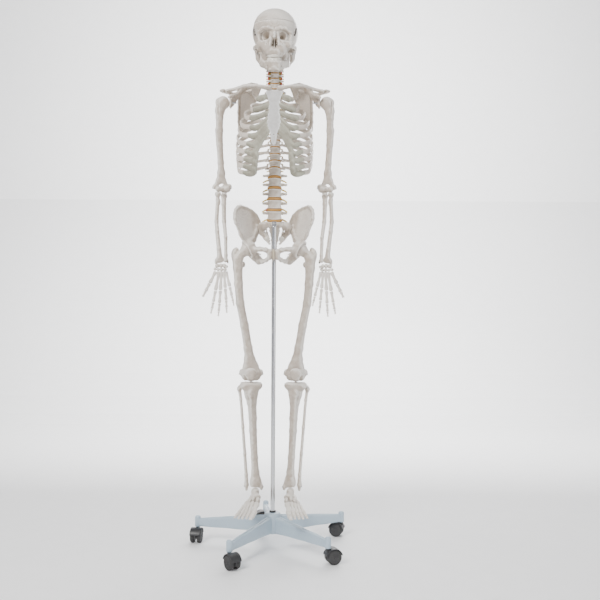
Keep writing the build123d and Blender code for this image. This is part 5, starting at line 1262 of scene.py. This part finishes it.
def forearm():
    """The left ulna with its hook round the elbow, and the radius with its button head and broad end."""
    ex, ey, ez = ELBOW
    wx, wy, wz = WRIST
    ulna = Clay((wx - 36, wy - 16, wz - 4), (ex + 6, ey + 30, ez + 26), 1.1)
    ulna.bar([(ex - 8, ey + 19, ez + 10), (ex - 8, ey + 18.5, ez - 6), (ex - 8, ey + 8, ez - 22)],
             [7.4, 7.6, 9.5], 4, (1.05, 1, 1))
    ulna.bar([(ex - 8, ey + 2, ez - 20), (ex - 8, ey - 11, ez - 16)], [8.5, 5.2], 4, (1.1, 1, 0.8))
    ulna.bar([(ex - 8, ey + 6, ez - 24), (ex - 8, ey + 1, ez - 50), (ex - 10, ey - 6, ez - 110),
              (wx - 11, wy + 14, wz + 90), (wx - 13, wy + 4, wz + 30),
              (wx - 13, wy, wz + 13)], [9, 7.6, 6.6, 5.8, 5.2, 6.4], 4)
    ulna.egg((wx - 13, wy, wz + 11), (7.6, 7.6, 6), 3)
    ulna.bar([(wx - 19, wy + 4, wz + 12), (wx - 20, wy + 5, wz + 3)], [3, 1.8], 2)
    ulna.bar([(ex - 26, ey, ez), (ex + 10, ey, ez)], 12.0, 1, cut=True)
    radius = Clay((wx - 12, wy - 20, wz - 4), (ex + 28, ey + 16, ez - 8), 1.1)
    radius.bar([(ex + 12, ey - 2, ez - 15), (ex + 12, ey - 2, ez - 19)], [10.2, 10.2], 2, (1, 1, 0.7))
    radius.egg((ex + 12, ey - 2, ez - 8), (8, 8, 3.6), 1, cut=True)
    radius.bar([(ex + 12, ey - 2, ez - 20), (ex + 12, ey - 2, ez - 36)], [6.6, 6.0], 3)
    radius.egg((ex + 8, ey - 3, ez - 44), (5, 7, 10), 4)
    radius.bar([(ex + 12, ey - 2, ez - 36), (ex + 15, ey - 10, ez - 110), (ex + 11, wy + 22, wz + 110),
                (wx + 10, wy + 4, wz + 50), (wx + 7, wy, wz + 22)],
               [6.4, 6.6, 6.8, 7.2, 9.2], 4)
    radius.bar([(wx + 2, wy, wz + 14), (wx + 13, wy, wz + 12)], [9.5, 9.5], 5, (1, 0.82, 1))
    radius.bar([(wx + 17, wy, wz + 14), (wx + 20, wy, wz + 3)], [5, 3.6], 3)
    radius.egg((wx + 5, wy, wz - 4), (13, 8, 5), 2, cut=True)
    radius.bar([(wx + 6, wy + 9, wz + 30), (wx + 6, wy + 9, wz + 6)], [1.2, 1.6], 2, cut=True)
    return ulna.weather(0.28), radius.weather(0.28)


FINGERS = (
    (-20, -25, (44, 30, 21), (5.2, 4.8, 4.4)),
    (-9, -10, (64, 38, 22, 16), (5.0, 4.4, 3.8, 3.2)),
    (-1, -3, (62, 42, 26, 17), (5.0, 4.4, 3.8, 3.2)),
    (7, 5, (55, 39, 25, 17), (4.6, 4.2, 3.6, 3.0)),
    (14, 14, (51, 31, 18, 15), (4.4, 4.0, 3.4, 2.8)),
)


def long_bone(start, end, half, up, tip=False):
    """A finger or toe bone: wide base, slim bowed shaft, two-lobed head; a last one ends in a flat tuft."""
    start, end = np.asarray(start, float), np.asarray(end, float)
    length = np.linalg.norm(end - start)
    bow = np.asarray(up, float) * length * 0.03
    route = [start, start * 0.75 + end * 0.25 + bow * 0.6, (start + end) / 2 + bow,
             start * 0.25 + end * 0.75 + bow * 0.6, end]
    wide = [1.0, 0.94, 0.74, 0.66, 0.76, 0.96, 0.92] if not tip else [1.0, 0.84, 0.6, 0.56, 0.72, 0.8]
    deep = [0.92, 0.84, 0.66, 0.62, 0.7, 0.88, 0.86] if not tip else [0.85, 0.7, 0.5, 0.42, 0.38, 0.32]
    return carried(route, np.array(wide) * half, np.array(deep) * half, up=up, around=16, count=22, power=2.2,
                   dome=0.55)


def hand():
    """The left hand: eight carpal bones packed in two rows, and the metacarpals and fingers."""
    wx, wy, wz = WRIST
    wrist = Clay((wx - 30, wy - 14, wz - 34), (wx + 32, wy + 12, wz + 3), 0.75)
    blobs = (((15, -1, -6), (7.4, 6.6, 7.4)), ((3, 0, -5), (6.6, 7, 7.2)), ((-8.6, 0, -6), (6.4, 6, 7.0)),
             ((-17, -7, -9), (4.8, 4.6, 5)), ((21.5, -3, -17), (5.2, 6, 5)),
             ((12, -1, -19), (5.0, 6, 5.2)), ((1.2, 0, -18.5), (5.8, 7, 6.4)),
             ((-10.5, 0, -18.6), (6.4, 7, 6.2)))
    for centre, radii in blobs:
        wrist.egg(WRIST + centre, radii, 0.4)
    wrist.bar([WRIST + (-11, -6, -20), WRIST + (-12, -11, -21)], [2.6, 2.2], 1)
    wrist.weather(0.5)
    parts = []
    for across, heading, lengths, halves in FINGERS:
        lean = radians(heading)
        start = np.array([wx - across, wy, wz - 24.6])
        for k, (length, half) in enumerate(zip(lengths, halves)):
            pitch = radians(12 + 6 * k) if heading == -25 else radians(7 * k)
            step = np.array([-sin(lean) * cos(pitch), -sin(pitch), -cos(lean) * cos(pitch)])
            parts.append(long_bone(start, start + step * length, half * 1.3, (0, 1, 0),
                                   tip=k == len(lengths) - 1))
            start = start + step * (length + 1.0)
    return wrist, joined(parts)


# ---------------------------------------------------------------- legs
def thigh_bone():
    """The left femur: head, neck, two trochanters, bowed shaft with a ridge behind, and two condyles."""
    hx, _, hz = HIP
    kx, ky, kz = KNEE
    low = kz - 20
    bone = Clay((kx - 42, -42, low - 3), (hx + 56, 42, hz + 26), 1.25)
    bone.egg(HIP, (22.3, 22.3, 22.3), 0)
    bone.bar([HIP + (10, 1, -8), HIP + (22, 3, -18), HIP + (32, 5, -30)], [15.5, 13.5, 17], 5, (1, 0.9, 1))
    bone.egg(HIP + (42, 10, -18), (12.5, 14, 22), 6)
    bone.egg(HIP + (37, 15, 0), (7.5, 10, 8), 5)
    bone.egg(HIP + (16, 17, -50), (9, 8, 11), 5)
    bone.bar([HIP + (38, 16, -10), HIP + (18, 20, -48)], [4.5, 4], 5)
    bone.bar([HIP + (32, 2, -34), HIP + (31, -1, -62), HIP + (28, -6, -115), HIP + (22, -10, -180),
              (kx + 22, -10, low + 185), (kx + 10, -7, low + 110),
              (kx + 4, -4, low + 68)], [18, 15.5, 14, 13.4, 13.4, 14.2, 16.5], 6)
    bone.bar([HIP + (26, 12, -100), (kx + 22, 4, low + 185), (kx + 9, 8, low + 90)], [4, 4, 4], 7)
    bone.bar([(kx + 4, -4, low + 70), (kx + 1, -2, low + 44), (kx, 0, low + 26)], [16.5, 22, 28], 8,
             (1.12, 0.66, 1))
    for side in (-1, 1):
        bone.egg((kx + side * 19, ky + 4, low + 21.5), (14.5, 25, 21.5), 4)
        bone.egg((kx + side * 33, ky + 4, low + 27), (7, 13, 11), 5)
    bone.bar([(kx - 12, ky - 20, low + 22), (kx + 14, ky - 22, low + 28)], [9, 10], 5)
    bone.bar([(kx, ky - 36, low + 10), (kx, ky - 37, low + 40)], [5, 6], 5, cut=True)
    bone.bar([(kx, ky + 34, low + 6), (kx, ky + 10, low - 2)], [9, 7], 4, cut=True)
    bone.bar([(kx, ky + 32, low + 14), (kx, ky + 16, low + 16)], [10, 7], 4, cut=True)
    slot_cut(bone, HIP, 158, 182, 34)
    return bone.weather(0.32)


def shin_bones():
    """The left tibia with its flat top, tuberosity and sharp front edge; the fibula; and the kneecap."""
    kx, ky, kz = KNEE
    ax, _, az = ANKLE
    top = kz - 25
    bone = Clay((ax - 30, -30, az - 14), (kx + 42, 36, top + 6), 1.2)
    for side in (-1, 1):
        bone.egg((kx + side * 17.5, 3, top - 11), (21, 23, 14.5), 5)
    bone.bar([(kx - 1, 2, top - 16), (kx - 1, 0, top - 40), (kx - 3, -1, top - 66)], [27, 19, 15.5], 9,
             (1.08, 0.85, 1))
    bone.egg((kx - 1, -17, top - 34), (8, 8, 14), 7)
    bone.bar([(kx - 3, -1, top - 66), (kx - 7, -2, top - 120), (ax + 9, -2, az + 190), (ax + 4, -1, az + 100),
              (ax + 1, 1, az + 50)],
             [15.5, 13.4, 12.6, 11.4, 12.4], 5)
    bone.bar([(kx - 1, -20, top - 46), (kx - 6, -13, top - 120), (ax + 7, -12, az + 150)], [4, 3.6, 2.6], 7)
    bone.bar([(ax + 1, 1, az + 50), (ax, 2, az + 22), (ax, 2, az + 12)], [12.6, 17, 19], 6, (1, 0.85, 1))
    bone.bar([(ax - 13, 1, az + 16), (ax - 19, 1, az + 2), (ax - 20, 1, az - 5)], [8, 7, 5.4], 5,
             (0.75, 1.2, 1))
    bone.half_space((kx, 0, top), (0, 0, 1), 2.5)
    bone.egg((kx, 2, top + 1), (3.4, 7, 4), 2)
    for side in (-1, 1):
        bone.egg((kx + side * 18, 1, top + 7), (14, 18, 8.6), 2, cut=True)
    bone.egg((ax + 1, 2, az - 8), (15.5, 18, 12), 2, cut=True)
    fibula = Clay((ax + 18, -6, az - 18), (kx + 56, 26, top - 10), 1.0)
    fibula.bar([(ax + 31, 8, az - 10), (ax + 31, 8, az + 6), (ax + 32, 8, az + 40), (ax + 37, 8, az + 110),
                (ax + 44, 8, az + 200), (ax + 51, 9, top - 60),
                (kx + 39, 11, top - 28)], [4.8, 8.4, 6.2, 5.8, 5.6, 5.2, 6.5], 4, (0.88, 1, 1))
    fibula.egg((kx + 39.5, 11, top - 24), (8.4, 10.5, 9), 3)
    fibula.bar([(kx + 41, 14, top - 20), (kx + 41, 15, top - 14)], [4, 2.4], 2)
    cap = Clay((kx - 24, -44, kz - 22), (kx + 24, -14, kz + 30), 0.9)
    cap.egg((kx, -28, kz + 7), (20, 9, 18), 0)
    cap.egg((kx, -28, kz - 8), (11, 7, 10), 6)
    cap.bar([(kx - 40, ky, kz), (kx + 40, ky, kz)], 21.0, 2, cut=True)
    return bone.weather(0.32), fibula.weather(0.28), cap.weather(0.4)


def foot():
    """The left foot: heel, ankle bone and five smaller tarsals, and the metatarsals and toes."""
    x, _, az = ANKLE
    z = SOLE
    tarsus = Clay((x - 26, -80, z - 2), (x + 42, 74, az + 2), 0.95)
    tarsus.bar([(x + 9, 46, z + 19), (x + 8, 26, z + 25), (x + 12, 0, z + 26), (x + 20, -22, z + 26)],
               [17, 14.5, 13, 9.5], 4, (0.85, 1, 1.1))
    tarsus.egg((x - 6, 4, z + 41), (6, 11, 5), 4)
    tarsus.half_space((x, 0, z + 0.4), (0, 0, -1), 3)
    tarsus.bar([(x + 1, 12, az - 21), (x + 1, -6, az - 20)], [13, 13.4], 4, (0.95, 1, 0.75))
    tarsus.bar([(x + 1, 16, az - 15), (x + 1, -8, az - 13)], [11, 11.6], 3, (1.1, 1, 0.9))
    tarsus.bar([(x, -10, az - 22), (x - 3, -27, az - 26)], [11, 11.5], 3)
    for centre, radii in (((-4, -41, 47), (16, 7.2, 11.5)), ((24, -44, 25), (10.5, 14, 11)),
                          ((-11, -59, 39), (7.4, 10.4, 12)), ((3.6, -57, 44), (6.0, 9, 9.4)),
                          ((15, -58, 39), (6.2, 9.4, 9.6))):
        tarsus.egg((x + centre[0], centre[1], z + centre[2]), radii, 0.6)
    tarsus.half_space((x, 0, az - 1.0), (0, 0, 1), 2)
    tarsus.weather(0.45)
    bases = [(-8, -73, 33), (5, -69, 36), (15, -70, 33), (24, -65, 28), (33, -58, 23)]
    heads = [(-1, -128, 15), (13, -134, 17), (25, -130, 15), (36, -122, 13), (47, -110, 12)]
    parts = []
    for i, (base, head) in enumerate(zip(bases, heads)):
        base, head = np.array(base, float), np.array(head, float)
        half = 10.4 if i == 0 else 6.6
        parts.append(long_bone((x, 0, z) + base, (x, 0, z) + head, half, (0, 0, 1)))
        ahead = (head - base) * (1, 1, 0)
        ahead /= np.linalg.norm(ahead)
        start = np.array([x, 0, z]) + head + ahead * 1.6
        for k, (length, drop) in enumerate(zip((31, 23) if i == 0 else (24 - i, 11, 10), (1.5, 2.5, 1.0))):
            end = start + ahead * (length - 1) - (0, 0, drop)
            parts.append(long_bone(start, end, (9.4, 8.2)[k] if i == 0 else (6.0, 5.2, 4.8)[k], (0, 0, 1),
                                   tip=k == (1 if i == 0 else 2)))
            start = end + ahead * 1.0
    points, faces = joined(parts)
    points[:, 2] = np.maximum(points[:, 2], z + 0.3)
    return tarsus, (points, faces)


def make_limbs():
    """Both arms and both legs, their links, and the bolt heads that show at their joints."""
    clay_pair("collar_bone", collar_bone(), "torso", "bone_plastic", BONE, ["clavicle"])
    clay_pair("shoulder_blade", shoulder_blade(), "torso", "bone_plastic", RIB, ["scapula"])
    clay_pair("upper_arm_bone", upper_arm(), "upper_arm", "bone_plastic", BONE, ["humerus"])
    ulna, radius = forearm()
    clay_pair("ulna_bone", ulna, "forearm", "bone_plastic", BONE, ["ulna"])
    clay_pair("radius_bone", radius, "forearm", "bone_plastic", BONE, ["radius"])
    wrist, fingers = hand()
    clay_pair("wrist_bones", wrist, "hand", "bone_plastic", BONE, ["hand_bones"])
    pair("finger_bones", fingers, "hand", "bone_plastic", BONE)
    clay_pair("thigh_bone", thigh_bone(), "thigh", "bone_plastic", BONE, ["femur"])
    shin, fibula, cap = shin_bones()
    clay_pair("shin_bone", shin, "shank", "bone_plastic", BONE, ["tibia"])
    clay_pair("calf_bone", fibula, "shank", "bone_plastic", BONE, ["fibula"])
    clay_pair("kneecap", cap, "thigh", "bone_plastic", BONE, ["patella"])
    tarsus, toes = foot()
    clay_pair("tarsal_bones", tarsus, "foot", "bone_plastic", BONE, ["foot_bones"])
    pair("toe_bones", toes, "foot", "bone_plastic", BONE)

    def bolt(centre, axis, size):
        return lathe(np.array([0.15, 0.7, 1, 1.04, 1.04]) * size, np.array([0.62, 0.55, 0.3, 0, -1.6]) * size,
                     centre, axis, 24)

    pair("wrist_bolt", bolt(WRIST + (-21, 0, 6), (-1, 0, 0), 2.4), "forearm", "steel", SCREW)
    pair("elbow_bolts",
         joined([bolt(ELBOW + (-33, 1, 4), (-1, 0, 0), 3.2), bolt(ELBOW + (29.5, 0, 4), (1, 0, 0), 3.0)]),
         "upper_arm", "steel", STEEL)
    pair("knee_bolts",
         joined([bolt(KNEE + (-39, 4, 2), (-1, 0, 0), 3.6), bolt(KNEE + (39, 4, 2), (1, 0, 0), 3.6)]),
         "thigh", "steel", STEEL)
    pair("ankle_bolts",
         joined([bolt(ANKLE + (-25.5, 1, 1), (-1, 0, 0), 2.8), bolt(ANKLE + (38.2, 8, 1), (1, 0, 0), 2.8)]),
         "shank", "steel", STEEL)
    for name in ("hip_link", "shoulder_link"):
        for side in ("left", "right"):
            mesh = frame["nodes"][f"{name}_{side}"].data
            mesh.materials.clear()
            mesh.materials.append(STEEL)


# ---------------------------------------------------------------- stand
HUB = node_points("star_base")[:, 2].max()
WHEELS = [node_points(f"castor_wheels_{i}") for i in range(1, 6)]
SWIVELS = [joint(f"castor_swivel_{i}") for i in range(1, 6)]


def star():
    """Five tapering arms on a round-topped hub, each arm a rounded box that ends in a domed post."""
    parts = [lathe([2, 26, 28.2, 28.5, 28.5, 27.5, 24.5, 19, 8.6, 8.2, 8.2],
                   [45.5, 45.3, 46.4, 50, 99, 105.5, 110, 112.6, 113, 111, 104], around=56)]
    for pivot in SWIVELS:
        x, y = pivot[:2]
        reach = sqrt(x * x + y * y)
        way = np.array([x, y, 0]) / reach
        route = [way * r + (0, 0, h) for r, h in ((10, 73.5), (100, 71), (180, 68), (reach, 64))]
        parts.append(carried(route, [12.6, 10.8, 9.2, 8.0], [28, 22, 17.5, 12.5], around=36, count=30,
                             power=5.0, dome=0.3))
        rib_route = [way * r + (0, 0, h) for r, h in ((22, 102.0), (100, 93.5), (180, 86.0), (reach - 4, 77))]
        parts.append(carried(rib_route, 1.8, 1.4, around=12, count=24))
        parts.append(lathe([3, 8.0, 9.6, 9.9, 9.9, 9.0, 6.6, 3.0, 0.4],
                           [50.2, 50.0, 51, 53, 80, 83.6, 86.2, 87.4, 87.6], (x, y, 0), around=36))
    return joined(parts)


def castor(index):
    """One castor: its two wheels with hubs and treads, and the hood with web, roof and collar."""
    middle = (WHEELS[index].max(0) + WHEELS[index].min(0)) / 2
    swivel = SWIVELS[index]
    trail = (middle - swivel) * (1, 1, 0)
    trail /= np.linalg.norm(trail)
    axle = np.array([-trail[1], trail[0], 0.0])
    centre = np.array([middle[0], middle[1], 23.0])

    def rim(angle):
        return np.cos(angle) * trail + np.array([0, 0, np.sin(angle)])

    treads, hubs = [], []
    for side in (-1, 1):
        way = axle * side
        treads.append(lathe([14.5, 15.5, 20.6, 22.2, 22.9, 23.0, 23.0, 22.9, 22.2, 20.4, 14.5],
                            [5.4, 5.2, 5.2, 5.8, 7.0, 8.6, 14.4, 16.0, 17.3, 18.0, 17.6], centre, way, 56))
        hubs.append(lathe([0.4, 2.4, 2.8, 5.4, 6.2, 7.2, 12.6, 14.9, 15.0, 15.0],
                          [19.0, 18.8, 17.2, 17.2, 18.0, 16.6, 15.6, 17.4, 16.8, 6.0], centre, way, 44))
        for k in range(6):
            spoke = rim(k * pi / 3)
            route = [centre + way * 16.4 + spoke * 6, centre + way * 16.2 + spoke * 14]
            hubs.append(carried(route, 1.3, 0.9, up=way, around=10, count=6))
    low, high = radians(12), radians(168)
    upward = [rim(a) for a in np.linspace(low, high, 200)]
    roof = []
    for side in (-1, 0, 1):
        arc = [centre + rim(a) * 26.0 + axle * side * 11.0 for a in np.linspace(low, high, 30)]
        roof.append(carried(arc, 7.6, 1.5, up=upward, around=20, count=34, power=4.0, dome=0.6))
    web = lathe([2, 24.0, 24.9, 24.9, 24.0, 2], [-3.6, -3.6, -3.0, 3.0, 3.6, 3.6], centre, axle, 56)
    web[0][:, 2] = np.maximum(web[0][:, 2], 15.5)
    collar = lathe([2, 6.4, 7.0, 7.0, 6.2, 4.4, 4.4, 2], [-5, -5, -4, 3.5, 4.5, 4.9, 6.0, 6.0],
                   (swivel[0], swivel[1], 44.0), around=32)
    return joined(treads), joined(hubs), joined(roof + [web, collar])


def make_stand():
    """Star base, castors, and the steel parts that keep their CAD shape under new finishes."""
    piece("star_base_moulding", *star(), "stand", "base_plastic", BASE, ["star_base"])
    for index in range(5):
        treads, hubs, hood = castor(index)
        number = index + 1
        piece(f"castor_treads_{number}", *treads, f"wheels_{number}", "castor_plastic", TREAD,
              [f"castor_wheels_{number}"])
        piece(f"castor_hubs_{number}", *hubs, f"wheels_{number}", "castor_plastic", BLACK)
        piece(f"castor_body_{number}", *hood, f"castor_{number}", "castor_plastic", BLACK,
              [f"castor_hood_{number}"])
        stem = lathe([1, 4.0, 4.4, 4.4, 3.6, 1], [46, 46, 47, 71, 73, 73],
                     (SWIVELS[index][0], SWIVELS[index][1], 0), around=24)
        piece(f"castor_stem_{number}", *stem, f"castor_{number}", "castor_plastic", STEEL)
    for name, material in (("pole", CHROME), ("hanger_socket", CHROME), ("hanger_screw", STEEL),
                           ("spine_rod", STEEL)):
        mesh = frame["nodes"][name].data
        mesh.materials.clear()
        mesh.materials.append(material)
    ring = lathe([7.4, 10.4, 11.0, 11.0, 10.4, 7.4],
                 [HUB - 1, HUB - 0.6, HUB + 0.4, HUB + 4, HUB + 5, HUB + 5.4], around=44)
    piece("pole_collar", *ring, "stand", "castor_plastic", BLACK)


make_skull()
make_spine()
make_pelvis()
make_thorax()
make_limbs()
make_stand()


# ---------------------------------------------------------------- light and camera
def area(name, place, size, power, colour=(1, 1, 1)):
    """A soft square light that looks at the middle of the model."""
    light = bpy.data.lights.new(name, "AREA")
    light.shape, light.size, light.energy, light.color = "SQUARE", size, power, colour
    lamp = bpy.data.objects.new(name, light)
    bpy.context.scene.collection.objects.link(lamp)
    lamp.location = place
    aim = Vector((0, 0, 0.95)) - Vector(place)
    lamp.rotation_euler = aim.to_track_quat("-Z", "Y").to_euler()


camera = bpy.data.objects.new("camera", bpy.data.cameras.new("camera"))
bpy.context.scene.collection.objects.link(camera)
camera.location = (0.088, -2.7, 0.824)
camera.rotation_euler = (radians(90), radians(-0.3), 0)
camera.data.lens, camera.data.sensor_width = 48.3, 36.0
bpy.context.scene.camera = camera
area("key", (-1.5, -2.6, 3.0), 1.3, 150, (1.0, 0.985, 0.96))
area("fill", (2.7, -2.6, 1.3), 2.4, 42)
area("back", (0.9, 2.3, 2.7), 1.6, 70)
area("backdrop", (0.2, 1.4, 2.6), 2.6, 330)
bpy.data.objects["backdrop"].rotation_euler = (radians(75), 0, 0)
world = bpy.data.worlds.new("studio")
world.use_nodes = True
world.node_tree.nodes["Background"].inputs["Color"].default_value = (0.95, 0.96, 1.0, 1.0)
world.node_tree.nodes["Background"].inputs["Strength"].default_value = 0.62
bpy.context.scene.world = world

# The floor runs back 2.6 m and curves up into a backdrop.
LINES = 61
across, back = np.meshgrid(*[np.linspace(-1, 1, LINES) * 6000.0] * 2, indexing="ij")
curve = np.clip((back - 2600.0) / 1800.0, 0, None)
rise = 3400.0 * curve ** 2 / (1 + curve)
grid_points = np.stack([across, np.minimum(back, 4400.0), rise], -1).reshape(-1, 3)
cell_at = np.arange(LINES - 1)[:, None] * LINES + np.arange(LINES - 1)[None, :]
grid_faces = np.stack([cell_at, cell_at + LINES, cell_at + LINES + 1, cell_at + 1], -1).reshape(-1, 4)
floor_mesh = bpy.data.meshes.new("floor")
floor_mesh.from_pydata((grid_points * MM).tolist(), [], grid_faces.tolist())
floor = bpy.data.objects.new("floor", floor_mesh)
bpy.context.scene.collection.objects.link(floor)
floor_mesh.materials.append(finish("floor", (0.92, 0.92, 0.92), (0.89, 0.89, 0.89), (0.8, 0.8, 0.8), 0.6,
                                   bump=0.05, scratch=0.0))
